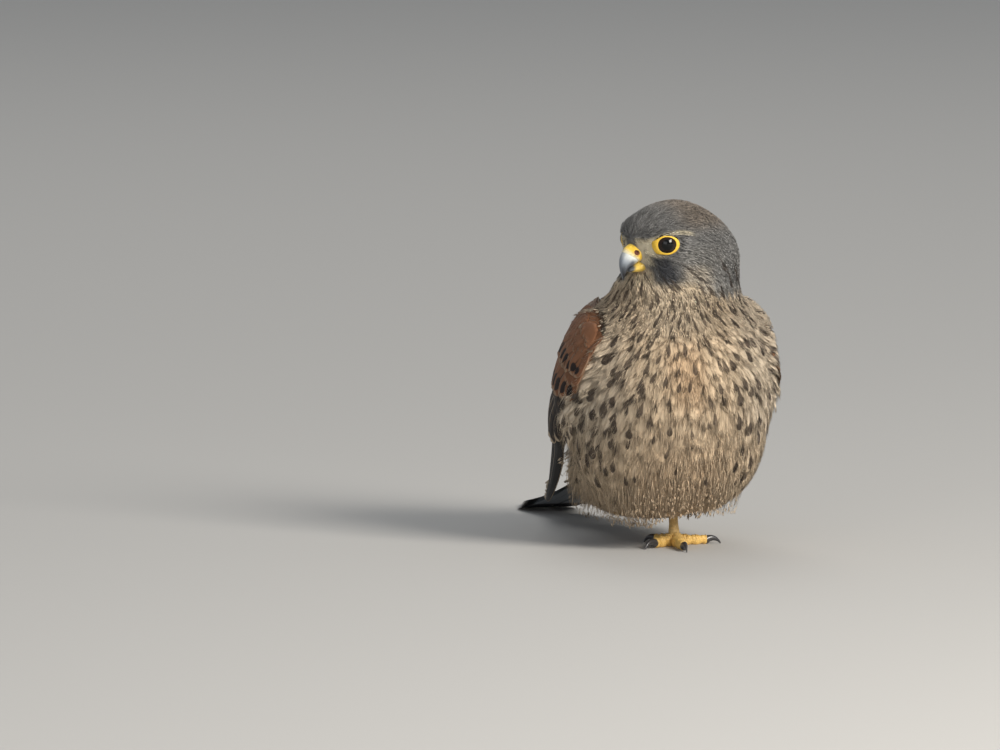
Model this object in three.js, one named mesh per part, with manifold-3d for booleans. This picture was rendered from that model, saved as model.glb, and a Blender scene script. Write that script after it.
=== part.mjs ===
// A common kestrel, an adult male with its coat fluffed out, resting on its left foot.
// Life size in millimetres. The bird faces -Y, its left side is +X and up is +Z.
// The head looks over the right shoulder, the right foot is drawn up into the belly and the tail lies
// back until its tip touches the floor.
import * as THREE from "three";
import { mergeVertices } from "three/addons/utils/BufferGeometryUtils.js";
import Module from "manifold-3d";

const wasm = await Module();
wasm.setup();

const GAP = 0.3; // free space between neighbouring pieces
const RIGHT = -1;
const LEFT = 1;

// The fluffed coat is one smooth blend of named forms.
// at: centre. size: half lengths forward, sideways and up. yaw: turn to the bird's right. pitch: front end up.
const TORSO_BLEND = 14;
const HEAD_BLEND = 7;
const TORSO_FORMS = {
  trunk: { at: [0, 1, 77], size: [56, 53.5, 52], yaw: 0, pitch: 0 },
  shoulders: { at: [3.5, 2, 102], size: [46, 46, 30], yaw: 0, pitch: 0 },
  back: { at: [0, 28, 76], size: [46, 41, 32], yaw: 0, pitch: 38 },
  rump: { at: [0, 52, 58], size: [32, 25, 16], yaw: 0, pitch: 32 },
  belly: { at: [0, -2, 48], size: [45, 46, 34], yaw: 0, pitch: 0 },
  vent: { at: [0, 32, 36.5], size: [33, 39, 27], yaw: 0, pitch: 6 },
  neck: { at: [2, -9, 128], size: [30, 31, 22], yaw: 0, pitch: 0 },
};

// The head has its own frame: forward, to its left, up.
const HEAD_CENTRE = [-2.4, -16, 152];
const HEAD_YAW = 74;
const HEAD_FORMS = {
  cranium: { at: [1, 0, 2], size: [26, 22.5, 21] },
  nape: { at: [-13, 0, -8], size: [22, 23, 24] },
  face: { at: [10, 0, -2], size: [12.5, 15, 13.5] },
  forehead: { at: [13, 0, 5], size: [14, 9.5, 8] },
  brow_left: { at: [11, 10, 8.5], size: [13, 9, 6.5] },
  brow_right: { at: [11, -10, 8.5], size: [13, 9, 6.5] },
  cheek_left: { at: [6, 11, -11], size: [14, 10, 10] },
  cheek_right: { at: [6, -11, -11], size: [14, 10, 10] },
  throat: { at: [10, 0, -16], size: [12, 12, 9] },
};

const HEAD_BASE_Z = 131; // the cut between head and neck
const NECK_BASE_Z = 119; // the cut between neck and torso

const EYE = { at: [14.9, 14.1, 3.5], radius: 6.3, aimYaw: 58, aimPitch: -6 };
const LID = { ring: 5.3, thick: 1, reach: 4.5 };

const NORMAL_STEP = 0.5;
const radians = THREE.MathUtils.degToRad;
const lerp = THREE.MathUtils.lerp;
const vec = (a) => new THREE.Vector3(a[0], a[1], a[2]);

// Unit vectors forward, left and up of a form turned by yaw to the bird's right and pitched front end up.
function frameOf(yaw, pitch) {
  const y = radians(yaw);
  const q = radians(pitch);
  const forward = new THREE.Vector3(-Math.sin(y) * Math.cos(q), -Math.cos(y) * Math.cos(q), Math.sin(q));
  const left = new THREE.Vector3(Math.cos(y), -Math.sin(y), 0);
  const up = new THREE.Vector3().crossVectors(forward, left);
  return { forward, left, up };
}

const HEAD_FRAME = frameOf(HEAD_YAW, 0);

// A point of the head's own frame in the bird's frame.
function headPoint(f, l, u) {
  return vec(HEAD_CENTRE)
    .addScaledVector(HEAD_FRAME.forward, f)
    .addScaledVector(HEAD_FRAME.left, l)
    .addScaledVector(HEAD_FRAME.up, u);
}

const torsoForms = Object.values(TORSO_FORMS).map((form) => ({
  centre: vec(form.at),
  size: form.size,
  axes: frameOf(form.yaw, form.pitch),
}));
const headForms = Object.values(HEAD_FORMS).map((form) => ({
  centre: headPoint(...form.at),
  size: form.size,
  axes: HEAD_FRAME,
}));

// Nearly the distance from a point to an ellipsoid, negative inside it.
function formDistance(point, form) {
  const d = point.clone().sub(form.centre);
  const q = [d.dot(form.axes.forward), d.dot(form.axes.left), d.dot(form.axes.up)];
  const k0 = Math.hypot(...q.map((v, i) => v / form.size[i]));
  const k1 = Math.hypot(...q.map((v, i) => v / form.size[i] ** 2)) + 1e-9;
  return (k0 * (k0 - 1)) / k1;
}

function smoothMin(a, b, k) {
  const h = Math.max(k - Math.abs(a - b), 0) / k;
  return Math.min(a, b) - (h * h * h * k) / 6;
}

function coatDistance(point) {
  const torso = torsoForms.map((f) => formDistance(point, f)).reduce((a, b) => smoothMin(a, b, TORSO_BLEND));
  const head = headForms.map((f) => formDistance(point, f)).reduce((a, b) => smoothMin(a, b, HEAD_BLEND));
  return smoothMin(torso, head, HEAD_BLEND);
}

// The coat's outward direction at a point.
function coatNormal(point) {
  const slope = (axis) => {
    const ahead = point.clone();
    const behind = point.clone();
    ahead[axis] += NORMAL_STEP;
    behind[axis] -= NORMAL_STEP;
    return coatDistance(ahead) - coatDistance(behind);
  };
  return new THREE.Vector3(slope("x"), slope("y"), slope("z")).normalize();
}

// A point moved straight out of the coat until it lies at least this high over it.
function liftOver(point, height) {
  for (let i = 0; i < 3; i += 1) {
    const short = height - coatDistance(point);
    if (short > 0) point.addScaledVector(coatNormal(point), short);
  }
  return point;
}

// The upright line inside the coat that each level ring is measured from.
function coatAxis(z) {
  const low = THREE.MathUtils.clamp((z - 100) / 30, 0, 1);
  const high = THREE.MathUtils.clamp((z - 130) / 20, 0, 1);
  return new THREE.Vector3(-2 * high, 4 - 13 * low - 6 * high, z);
}

function coatPoint(z, angle, out = 0) {
  const axis = coatAxis(z);
  const ray = new THREE.Vector3(Math.sin(angle), -Math.cos(angle), 0);
  let inside = 0;
  let outside = 110;
  for (let i = 0; i < 26; i += 1) {
    const middle = (inside + outside) / 2;
    if (coatDistance(axis.clone().addScaledVector(ray, middle)) < out) inside = middle;
    else outside = middle;
  }
  return axis.addScaledVector(ray, inside);
}

// The height at which the coat ends on its axis, searched from z inside towards z outside.
function coatEnd(inside, outside, out = 0) {
  let a = inside;
  let b = outside;
  for (let i = 0; i < 30; i += 1) {
    const middle = (a + b) / 2;
    if (coatDistance(coatAxis(middle)) < out) a = middle;
    else b = middle;
  }
  return a;
}

// A closed geometry from rings of points, each end closed by a fan to its own centre.
function ringsToGeometry(rings, startPoint, endPoint) {
  const n = rings[0].length;
  const points = rings.flat();
  const start = points.length;
  points.push(startPoint, endPoint);
  const index = [];
  for (let i = 0; i + 1 < rings.length; i += 1) {
    for (let j = 0; j < n; j += 1) {
      const k = (j + 1) % n;
      const a = i * n + j;
      const b = i * n + k;
      index.push(a, b, a + n, b, b + n, a + n);
    }
  }
  const last = (rings.length - 1) * n;
  for (let j = 0; j < n; j += 1) {
    const k = (j + 1) % n;
    index.push(start, k, j);
    index.push(start + 1, last + j, last + k);
  }
  return meshData(points, index);
}

function meshData(points, index) {
  const geometry = new THREE.BufferGeometry();
  geometry.setAttribute("position", new THREE.Float32BufferAttribute(points.flatMap((p) => p.toArray()), 3));
  geometry.setIndex(index);
  return geometry;
}

// A solid for joining and cutting, turned face out where the geometry came inside out.
function solidOf(geometry) {
  const bare = geometry.clone();
  bare.deleteAttribute("normal");
  bare.deleteAttribute("uv");
  const merged = mergeVertices(bare, 1e-4);
  const vertProperties = new Float32Array(merged.attributes.position.array);
  const build = (triVerts) => new wasm.Manifold(new wasm.Mesh({ numProp: 3, vertProperties, triVerts }));
  const faces = new Uint32Array(merged.index.array);
  const solid = build(faces);
  if (solid.volume() > 0) return solid;
  for (let i = 0; i < faces.length; i += 3) [faces[i + 1], faces[i + 2]] = [faces[i + 2], faces[i + 1]];
  return build(faces);
}

const join = (solids) => solids.reduce((a, b) => a.add(b));

// The largest closed body of a solid.
function largest(solid) {
  return solid.decompose().reduce((a, b) => (a.volume() > b.volume() ? a : b));
}

// The part of a solid above the floor.
const aboveFloor = (solid) => solid.trimByPlane([0, 0, 1], 0);

// The coat between two heights as a solid. A null height runs on to the coat's own end.
function coatSlice({ low, high, levels, around, out = 0 }) {
  const bottom = low ?? coatEnd(40, -20, out);
  const top = high ?? coatEnd(150, 200, out);
  const rings = [];
  for (let i = 0; i <= levels; i += 1) {
    const even = i / levels;
    const easeLow = 1 - Math.cos((even * Math.PI) / 2);
    const easeHigh = Math.sin((even * Math.PI) / 2);
    const share = low === null ? easeLow : high === null ? easeHigh : even;
    if ((low === null && i === 0) || (high === null && i === levels)) continue;
    const z = bottom + (top - bottom) * share;
    rings.push(Array.from({ length: around }, (_, j) => coatPoint(z, (j / around) * 2 * Math.PI, out)));
  }
  return solidOf(ringsToGeometry(rings, coatAxis(bottom), coatAxis(top)));
}

// A tube along a path. section(share) gives its half width and half height there.
function sweep(path, section, around, upHint = [0, 0, 1]) {
  const rings = path.map((point, i) => {
    const before = path[Math.max(i - 1, 0)];
    const after = path[Math.min(i + 1, path.length - 1)];
    const along = after.clone().sub(before).normalize();
    const side = new THREE.Vector3().crossVectors(along, vec(upHint)).normalize();
    const up = new THREE.Vector3().crossVectors(side, along);
    const [halfWidth, halfHeight] = section(i / (path.length - 1));
    return Array.from({ length: around }, (_, j) => {
      const turn = (j / around) * 2 * Math.PI;
      return point
        .clone()
        .addScaledVector(side, halfWidth * Math.cos(turn))
        .addScaledVector(up, halfHeight * Math.sin(turn));
    });
  });
  return solidOf(ringsToGeometry(rings, path[0], path[path.length - 1]));
}

function ellipsoid(centre, size, axes, wide = 18, tall = 12) {
  const geometry = new THREE.SphereGeometry(1, wide, tall);
  const basis = new THREE.Matrix4().makeBasis(
    axes.forward.clone().multiplyScalar(size[0]),
    axes.left.clone().multiplyScalar(size[1]),
    axes.up.clone().multiplyScalar(size[2]),
  );
  basis.setPosition(centre);
  return solidOf(geometry.applyMatrix4(basis));
}

// One feather as a thin closed vane. centreAt(share) is its shaft, upAt(share) the way it faces.
// Both faces are split into the same triangles, so that a curved vane never crosses itself.
function vane({ centreAt, upAt, width, thick, rows, outline, roll = 0 }) {
  const top = [];
  const bottom = [];
  for (let i = 0; i <= rows; i += 1) {
    const share = i / rows;
    const centre = centreAt(share);
    const along = centreAt(Math.min(share + 0.01, 1)).sub(centreAt(Math.max(share - 0.01, 0))).normalize();
    const side = new THREE.Vector3().crossVectors(along, upAt(share)).normalize();
    const up = new THREE.Vector3().crossVectors(side, along).normalize();
    const half = (width / 2) * outline(share);
    for (const column of [-1, 0, 1]) {
      const across = half * column;
      const point = centre.clone().addScaledVector(side, across).addScaledVector(up, across * Math.tan(roll));
      top.push(point.clone().addScaledVector(up, thick / 2));
      bottom.push(point.clone().addScaledVector(up, -thick / 2));
    }
  }
  const points = [...top, ...bottom];
  const under = top.length;
  const index = [];
  const quad = (a, b, c, d) => index.push(a, b, c, a, c, d);
  for (let i = 0; i < rows; i += 1) {
    for (const j of [0, 1]) {
      const a = i * 3 + j;
      index.push(a, a + 1, a + 4, a, a + 4, a + 3);
      index.push(under + a, under + a + 4, under + a + 1, under + a, under + a + 3, under + a + 4);
    }
    quad(i * 3, i * 3 + 3, under + i * 3 + 3, under + i * 3);
    quad(i * 3 + 2, under + i * 3 + 2, under + i * 3 + 5, i * 3 + 5);
  }
  const end = rows * 3;
  for (const j of [0, 1]) {
    quad(j, under + j, under + j + 1, j + 1);
    quad(end + j, end + j + 1, under + end + j + 1, under + end + j);
  }
  return solidOf(meshData(points, index));
}

// Half width along a feather, as a share of its widest: a narrow root, a broad vane and a tapered tip.
// It widens until the share broad and tapers from the share taper on.
const vaneOutline =
  ({ root, tip, broad, taper }) =>
  (share) =>
    root + (1 - root) * Math.min(1, share / broad) - (1 - tip) * Math.max(0, (share - taper) / (1 - taper)) ** 2;
const roundedVane = vaneOutline({ root: 0.25, tip: 0.28, broad: 0.33, taper: 0.72 });
const pointedVane = vaneOutline({ root: 0.22, tip: 0.18, broad: 0.25, taper: 0.5 });

// Smooth curve through a few named places.
const curveThrough = (places) => new THREE.CatmullRomCurve3(places.map(vec), false, "centripetal");

// A folded wing is a curved sheet between its lower edge and its upper edge, both given for the left side.
const WING_LOWER_EDGE = [
  [44, -20, 109],
  [53, -14, 84],
  [50, 14, 56],
  [40, 46, 37],
  [27, 100, 13],
  [8, 165, 12],
];
const WING_UPPER_EDGE = [
  [34, -4, 112],
  [28, 20, 106],
  [20, 50, 91],
  [9, 76, 70],
  [5, 112, 42],
  [3, 166, 16],
];
const WING_SWELL = 13; // how far the sheet swells outwards, most in its middle
const SWELL_AIM = new THREE.Vector3(0.9, 0.35, 0.3).normalize();
const WING_REST = 1.1; // height of the sheet over the coat
const WING_OUTWARD = new THREE.Vector3(1, 0.3, 0.8);
const VANE_THICK = 0.6;
const lowerEdge = curveThrough(WING_LOWER_EDGE);
const upperEdge = curveThrough(WING_UPPER_EDGE);

const toSide = (side, point) => point.setX(side * point.x);
const hump = (share) => 4 * share * (1 - share); // 0 at both ends and 1 in the middle

// along runs from the shoulder at 0 to the wing tip at 1, across from the lower edge at 0 to the upper at 1.
function wingSheet(side, along, across) {
  const s = THREE.MathUtils.clamp(along, 0, 1);
  const swell = WING_SWELL * hump(across) * hump(s) ** 2;
  const point = lowerEdge.getPoint(s).lerp(upperEdge.getPoint(s), across).addScaledVector(SWELL_AIM, swell);
  return liftOver(toSide(side, point), WING_REST);
}

function wingNormal(side, along, across) {
  const step = 0.02;
  const ahead = wingSheet(side, Math.min(along, 1 - step) + step, across);
  const inward = wingSheet(side, along, across + step);
  const slopeAlong = ahead.sub(wingSheet(side, along - step, across));
  const slopeAcross = inward.sub(wingSheet(side, along, across - step));
  const normal = slopeAlong.cross(slopeAcross).normalize();
  return normal.dot(toSide(side, WING_OUTWARD.clone())) < 0 ? normal.negate() : normal;
}

// A row of feathers on the wing sheet. Each goes from its root to its tip, both given as along and across.
function wingRow(side, { count, root, tip, width, lift, tipLift, roll, rows, outline }) {
  return Array.from({ length: count }, (_, i) => {
    const share = i / (count - 1);
    const [rootAlong, rootAcross] = root(share);
    const [tipAlong, tipAcross] = tip(share);
    const at = (t) => [lerp(rootAlong, tipAlong, t), lerp(rootAcross, tipAcross, t)];
    const upAt = (t) => wingNormal(side, ...at(t));
    return vane({
      centreAt: (t) => wingSheet(side, ...at(t)).addScaledVector(upAt(t), lerp(lift, tipLift, t)),
      upAt,
      width,
      thick: VANE_THICK,
      rows,
      outline,
      roll: side * roll,
    });
  });
}

// The flesh and small coverts at the wing's front, a flat pad that lies on the coat and tapers towards the tip.
const PAD = { over: 1.5, under: 0.3, start: 0.005, end: 0.44, half: 0.46, blunt: 0.12, open: 4, taper: 0.3 };

function wingPad(side) {
  const rows = 8;
  const around = 10;
  const rings = Array.from({ length: rows + 1 }, (_, i) => {
    const share = i / rows;
    const along = lerp(PAD.start, PAD.end, share);
    const swell = Math.sqrt(Math.min(1, PAD.blunt + PAD.open * share)) * (1 - PAD.taper * share);
    return Array.from({ length: around }, (_, j) => {
      const turn = (j / around) * 2 * Math.PI;
      const across = 0.5 + PAD.half * Math.cos(turn) * swell;
      const height = Math.sin(turn) * (Math.sin(turn) > 0 ? PAD.over : PAD.under) * swell;
      return wingSheet(side, along, across).addScaledVector(wingNormal(side, along, across), height);
    });
  });
  return solidOf(ringsToGeometry(rings, wingSheet(side, PAD.start, 0.5), wingSheet(side, PAD.end, 0.5)));
}

const PRIMARIES = {
  count: 5,
  root: (k) => [0.39, 0.12 + 0.6 * k],
  tip: (k) => [lerp(0.9, 0.985, k), lerp(0.08, 0.56, k)],
  width: 11,
  lift: 0,
  tipLift: -0.5,
  roll: -0.12,
  rows: 5,
  outline: pointedVane,
};
const SECONDARIES = {
  count: 6,
  root: (k) => [0.27, 0.12 + 0.72 * k],
  tip: (k) => [0.46 + 0.28 * k ** 0.7, lerp(0.08, 0.86, k)],
  width: 15,
  lift: 0.5,
  tipLift: 1.8,
  roll: -0.09,
  rows: 4,
  outline: roundedVane,
};
const GREATER_COVERTS = {
  count: 5,
  root: (k) => [lerp(0.12, 0.18, k), 0.12 + 0.76 * k],
  tip: (k) => [lerp(0.27, 0.46, k), lerp(0.06, 0.9, k)],
  width: 18,
  lift: 0.9,
  tipLift: 2.5,
  roll: -0.08,
  rows: 3,
  outline: roundedVane,
};
const MEDIAN_COVERTS = {
  count: 4,
  root: (k) => [0.06, 0.16 + 0.66 * k],
  tip: (k) => [lerp(0.17, 0.3, k), lerp(0.1, 0.84, k)],
  width: 18,
  lift: 0.7,
  tipLift: 2.3,
  roll: -0.08,
  rows: 3,
  outline: roundedVane,
};

function wing(side, torsoAllowance) {
  const tiers = [PRIMARIES, SECONDARIES, GREATER_COVERTS, MEDIAN_COVERTS];
  const whole = join([wingPad(side), ...tiers.flatMap((tier) => wingRow(side, tier))]);
  return largest(aboveFloor(whole.subtract(torsoAllowance)));
}

// Twelve tail feathers, six a side, the middle pair on top. The closed tail lies back, bends up a little where it
// meets the floor and rests its tip there.
const TAIL_ROOT = [0, 50, 50];
const TAIL_TIP = [0, 194, 2];
const TAIL_SAG = 7;
const TAIL_FEATHERS_A_SIDE = 6;
const TAIL_LAYER = 0.85;
const TAIL_MIDDLE_GAP = 0.3;
const TAIL_THICK = 0.5;

function tailFeather(side, k) {
  const root = vec(TAIL_ROOT);
  const reach = 1 - 0.012 * k ** 1.2;
  const line = vec(TAIL_TIP).sub(root);
  const outerEdge = (t) => lerp(6 + 0.6 * k, 8 + 1.6 * k, t);
  return vane({
    centreAt: (t) => {
      const point = root.clone().addScaledVector(line, reach * t);
      point.x = (side * (TAIL_MIDDLE_GAP + outerEdge(t))) / 2;
      point.z -= TAIL_SAG * Math.sin(Math.PI * reach * t) + TAIL_LAYER * k;
      return point;
    },
    upAt: () => new THREE.Vector3(0, 0.3, 1),
    width: 1,
    thick: TAIL_THICK,
    rows: 6,
    outline: (t) => (outerEdge(t) - TAIL_MIDDLE_GAP) * (1 - 0.55 * Math.max(0, (t - 0.85) / 0.15) ** 2),
  });
}

function tailRoot() {
  const root = vec(TAIL_ROOT);
  const toTip = vec(TAIL_TIP).sub(root).normalize();
  const path = [-2, 10, 22, 34, 46].map((d) => root.clone().addScaledVector(toTip, d));
  path.forEach((point, i) => (point.z -= 3 + 1.1 * i));
  return sweep(path, (t) => [lerp(12, 8, t), lerp(7.5, 3, t)], 12);
}

function tail(torsoAllowance) {
  const feathers = [];
  for (let k = 0; k < TAIL_FEATHERS_A_SIDE; k += 1) {
    feathers.push(tailFeather(RIGHT, k), tailFeather(LEFT, k));
  }
  return largest(aboveFloor(join([tailRoot(), ...feathers]).subtract(torsoAllowance)));
}

// The eye, its socket and its lid. side is LEFT or RIGHT of the head.
function eyeAxis(side) {
  const yaw = radians(EYE.aimYaw);
  const pitch = radians(EYE.aimPitch);
  return HEAD_FRAME.forward
    .clone()
    .multiplyScalar(Math.cos(yaw) * Math.cos(pitch))
    .addScaledVector(HEAD_FRAME.left, side * Math.sin(yaw) * Math.cos(pitch))
    .addScaledVector(HEAD_FRAME.up, Math.sin(pitch));
}

const eyeCentre = (side) => headPoint(EYE.at[0], side * EYE.at[1], EYE.at[2]);
const eyeball = (side, out = 0) => ellipsoid(eyeCentre(side), Array(3).fill(EYE.radius + out), HEAD_FRAME, 16, 10);

function lid(side) {
  const ring = new THREE.TorusGeometry(LID.ring, LID.thick, 6, 18);
  const turn = new THREE.Quaternion().setFromUnitVectors(new THREE.Vector3(0, 0, 1), eyeAxis(side));
  ring.applyQuaternion(turn);
  const at = eyeCentre(side).addScaledVector(eyeAxis(side), LID.reach);
  return solidOf(ring.translate(at.x, at.y, at.z));
}

// The bill in the head's frame, forward and up, from its root to its tip.
const CULMEN = [
  [21, 3.2],
  [26, 2.4],
  [30.2, 0.2],
  [32.8, -4],
  [33.2, -9],
  [31.6, -15],
];
const UPPER_EDGE = [
  [19, -6.5],
  [23.5, -6.8],
  [27.4, -8.7],
  [29.7, -10.4],
  [30.5, -12.8],
  [31.2, -15.4],
];
const BILL_HALF_WIDTHS = [6.8, 6.0, 4.8, 3.5, 2.1, 0.5];
const CERE_END = { at: [28, -3.9], lean: 56 }; // where skin gives way to horn; the line leans forward at its top
const LOWER_TOP = [
  [19, -7.2],
  [23, -7.6],
  [26, -8.8],
  [28.2, -10.3],
];
const LOWER_BOTTOM = [
  [19, -11.8],
  [23, -11.9],
  [26, -11.8],
  [28.2, -11.4],
];
const LOWER_HALF_WIDTHS = [5.4, 4.9, 3.6, 1.4];
const BILL_ROOM = 0.5; // free space cut round the bill's root in the head
const NOSTRIL = { at: [26.6, 4.7, -1.7], radius: 1.15 };

// A bill half: rings between a top line and a bottom line, with the given half widths. ridge narrows its top, and
// out makes it larger all round.
function billHalf({ topLine, bottomLine, halfWidths, ridge }, out = 0) {
  const flat = (line) => new THREE.CatmullRomCurve3(line.map(([f, u]) => new THREE.Vector3(f, 0, u)));
  const top = flat(topLine);
  const bottom = flat(bottomLine);
  const widths = new THREE.CatmullRomCurve3(halfWidths.map((w, i) => new THREE.Vector3(i, w, 0)));
  const stations = 9;
  const around = 14;
  const rings = [];
  for (let i = 0; i <= stations; i += 1) {
    const share = i / stations;
    const a = top.getPoint(share);
    const b = bottom.getPoint(share);
    const half = Math.max(0.35, widths.getPoint(share).y);
    const ring = [];
    for (let j = 0; j < around; j += 1) {
      const turn = (j / around) * 2 * Math.PI;
      const rise = (1 + Math.sin(turn)) / 2;
      const slim = 1 - ridge * rise ** 2;
      const middle = b.clone().lerp(a, rise);
      const side = (half * slim + out) * Math.cos(turn);
      ring.push(headPoint(middle.x - (i === 0 ? out : 0), side, middle.z + out * Math.sin(turn)));
    }
    rings.push(ring);
  }
  const centre = (i) => {
    const m = top.getPoint(i).lerp(bottom.getPoint(i), 0.5);
    return headPoint(m.x + (i === 0 ? -out : 0), 0, m.z);
  };
  return solidOf(ringsToGeometry(rings, centre(0), centre(1)));
}

const UPPER_HALF = { topLine: CULMEN, bottomLine: UPPER_EDGE, halfWidths: BILL_HALF_WIDTHS, ridge: 0.35 };
const LOWER_HALF = { topLine: LOWER_TOP, bottomLine: LOWER_BOTTOM, halfWidths: LOWER_HALF_WIDTHS, ridge: -0.1 };

function nostrilHole(side) {
  const at = headPoint(NOSTRIL.at[0], side * NOSTRIL.at[1], NOSTRIL.at[2]);
  return ellipsoid(at, Array(3).fill(NOSTRIL.radius), HEAD_FRAME, 10, 8);
}

// The upper half of the bill is parted where the cere's skin gives way to horn.
function upperBill() {
  const whole = billHalf(UPPER_HALF);
  const lean = radians(CERE_END.lean);
  const along = HEAD_FRAME.forward.clone().multiplyScalar(Math.cos(lean));
  const normal = along.addScaledVector(HEAD_FRAME.up, -Math.sin(lean));
  const at = headPoint(CERE_END.at[0], 0, CERE_END.at[1]).dot(normal);
  const horn = whole.trimByPlane(normal.toArray(), at + GAP / 2);
  const skin = whole.trimByPlane(normal.clone().negate().toArray(), -(at - GAP / 2));
  return { horn: largest(horn), cere: largest(skin.subtract(join([nostrilHole(LEFT), nostrilHole(RIGHT)]))) };
}

// The standing foot. Each toe lies on the floor from the ball of the foot; its claw curves down to the floor.
const BALL = [3.5, -1, 3.4];
const BALL_SIZE = [4.2, 3.8, 3.6];
const TARSUS_TOP = [4.4, 5, 30];
const TARSUS_HALF = 2.3;
const TOES = {
  inner: { aim: [-0.82, -0.57], length: 17, half: 2.5, claw: 10.5 },
  middle: { aim: [-0.17, -0.985], length: 26, half: 2.4, claw: 10.5 },
  outer: { aim: [0.985, -0.05], length: 17, half: 2.3, claw: 9 },
  hind: { aim: [-0.5, 0.87], length: 12, half: 2.4, claw: 9.5 },
};
const CLAW = { arc: 100, start: -35, bend: 1.75, wide: 0.76, tall: 0.9, sides: 8 };
const CLAW_TAPER = { wide: 0.88, tall: 0.86 }; // how much of its width and height a claw loses by its tip
const TOE_SIDES = 8;
const FOOT_PRESS = 0.3; // how far each pad is flattened against the floor
const PADS = 3;
const TOE_ROOM = [1.1, 1.2]; // free space round a toe, in its half width and height, that its claw stays out of

// A toe's centre line on the floor, as a height above it and a distance along it.
function toePath(toe) {
  const ball = vec(BALL);
  const aim = new THREE.Vector3(toe.aim[0], toe.aim[1], 0).normalize();
  const steps = 8;
  return Array.from({ length: steps + 1 }, (_, i) => {
    const t = i / steps;
    const knuckle = 0.3 * Math.sin(Math.PI * PADS * t) ** 2;
    const height = lerp(BALL[2], toe.half - FOOT_PRESS, Math.min(1, t * 3)) + knuckle;
    return new THREE.Vector3(ball.x, ball.y, 0)
      .addScaledVector(aim, toe.length * t)
      .setZ(height);
  });
}

function toeSolid(toe) {
  const swell = (t) => 1 + 0.13 * Math.cos(2 * Math.PI * PADS * t);
  const taper = (t) => lerp(1.12, 0.82, t);
  const half = (t) => toe.half * taper(t) * swell(t);
  return sweep(toePath(toe), (t) => [half(t), half(t) * 1.12], TOE_SIDES);
}

// A claw leaves the end of its toe along an arc of a circle that rises and then bends down to the floor.
function clawSolid(toe) {
  const start = toePath(toe).pop();
  const aim = new THREE.Vector3(toe.aim[0], toe.aim[1], 0).normalize();
  const steps = 5;
  const radius = toe.claw / CLAW.bend;
  const first = radians(CLAW.start);
  const points = Array.from({ length: steps + 1 }, (_, i) => {
    const turn = first + (i / steps) * radians(CLAW.arc);
    const rise = radius * (Math.cos(turn) - Math.cos(first));
    return start
      .clone()
      .addScaledVector(aim, radius * (Math.sin(turn) - Math.sin(first)) + GAP)
      .setZ(start.z + rise);
  });
  const section = (t) => [
    toe.half * CLAW.wide * (1 - CLAW_TAPER.wide * t),
    toe.half * CLAW.tall * (1 - CLAW_TAPER.tall * t),
  ];
  return sweep(points, section, CLAW.sides);
}

// The right foot, drawn up and closed under the belly.
const TUCKED = { at: [-15, 24, 18], spread: 3.3, half: 1.9, palm: [6, 5, 3.6], room: [9.4, 8.6, 7] };
const TUCKED_CURL = { from: -60, to: 190, back: 4.7, rise: 3.2, steps: 6 }; // each toe's arc, turned in degrees

function tuckedFoot() {
  const toes = [-1, 0, 1].map((k) => {
    const path = Array.from({ length: TUCKED_CURL.steps + 1 }, (_, i) => {
      const turn = radians(lerp(TUCKED_CURL.from, TUCKED_CURL.to, i / TUCKED_CURL.steps));
      const back = -TUCKED_CURL.back * Math.cos(turn);
      const rise = -TUCKED_CURL.rise * Math.sin(turn);
      return vec(TUCKED.at).add(new THREE.Vector3(k * TUCKED.spread, back, rise));
    });
    const half = (t) => lerp(TUCKED.half, TUCKED.half * 0.6, t);
    return sweep(path, (t) => [half(t), half(t)], 7, [1, 0, 0]);
  });
  const palm = ellipsoid(vec(TUCKED.at).add(new THREE.Vector3(0, 0, 2)), TUCKED.palm, frameOf(0, 0), 10, 6);
  return join([palm, ...toes]);
}

// Building the pieces.
const LOOKS = {
  grey_coat: { color: 0x75767a, roughness: 0.9, metalness: 0 },
  buff_coat: { color: 0xc2a584, roughness: 0.95, metalness: 0 },
  chestnut_coat: { color: 0x9a6042, roughness: 0.9, metalness: 0 },
  tail_grey: { color: 0x6f7680, roughness: 0.85, metalness: 0 },
  eye: { color: 0x14100e, roughness: 0.05, metalness: 0 },
  horn: { color: 0x59626e, roughness: 0.35, metalness: 0 },
  yellow_skin: { color: 0xe0ab2a, roughness: 0.55, metalness: 0 },
  claw: { color: 0x1d1a1b, roughness: 0.3, metalness: 0 },
};

const materials = Object.fromEntries(
  Object.entries(LOOKS).map(([name, look]) => [name, new THREE.MeshStandardMaterial({ name, ...look })]),
);

const bird = new THREE.Group();
bird.name = "common_kestrel";

function add(name, solid, look) {
  const mesh = solid.getMesh();
  const geometry = new THREE.BufferGeometry();
  geometry.setAttribute("position", new THREE.Float32BufferAttribute(mesh.vertProperties, 3));
  geometry.setIndex(new THREE.Uint32BufferAttribute(mesh.triVerts, 1));
  geometry.computeVertexNormals();
  const piece = new THREE.Mesh(geometry, materials[look]);
  piece.name = name;
  bird.add(piece);
  return piece;
}

const torsoGrid = { low: null, high: NECK_BASE_Z - GAP / 2, levels: 22, around: 36 };
const torsoWhole = coatSlice(torsoGrid);
const torsoAllowance = coatSlice({ ...torsoGrid, high: NECK_BASE_Z, out: GAP });
const neckAllowance = coatSlice({ low: NECK_BASE_Z, high: HEAD_BASE_Z, levels: 5, around: 36, out: GAP });
const coatAllowance = torsoAllowance.add(neckAllowance);

const foot = tuckedFoot();
const footRoom = ellipsoid(vec(TUCKED.at).add(new THREE.Vector3(0, 0, 1)), TUCKED.room, frameOf(0, 0), 18, 12);
add("torso", largest(torsoWhole.subtract(footRoom)), "buff_coat");
add(
  "neck",
  coatSlice({ low: NECK_BASE_Z + GAP / 2, high: HEAD_BASE_Z - GAP / 2, levels: 5, around: 36 }),
  "buff_coat",
);

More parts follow.
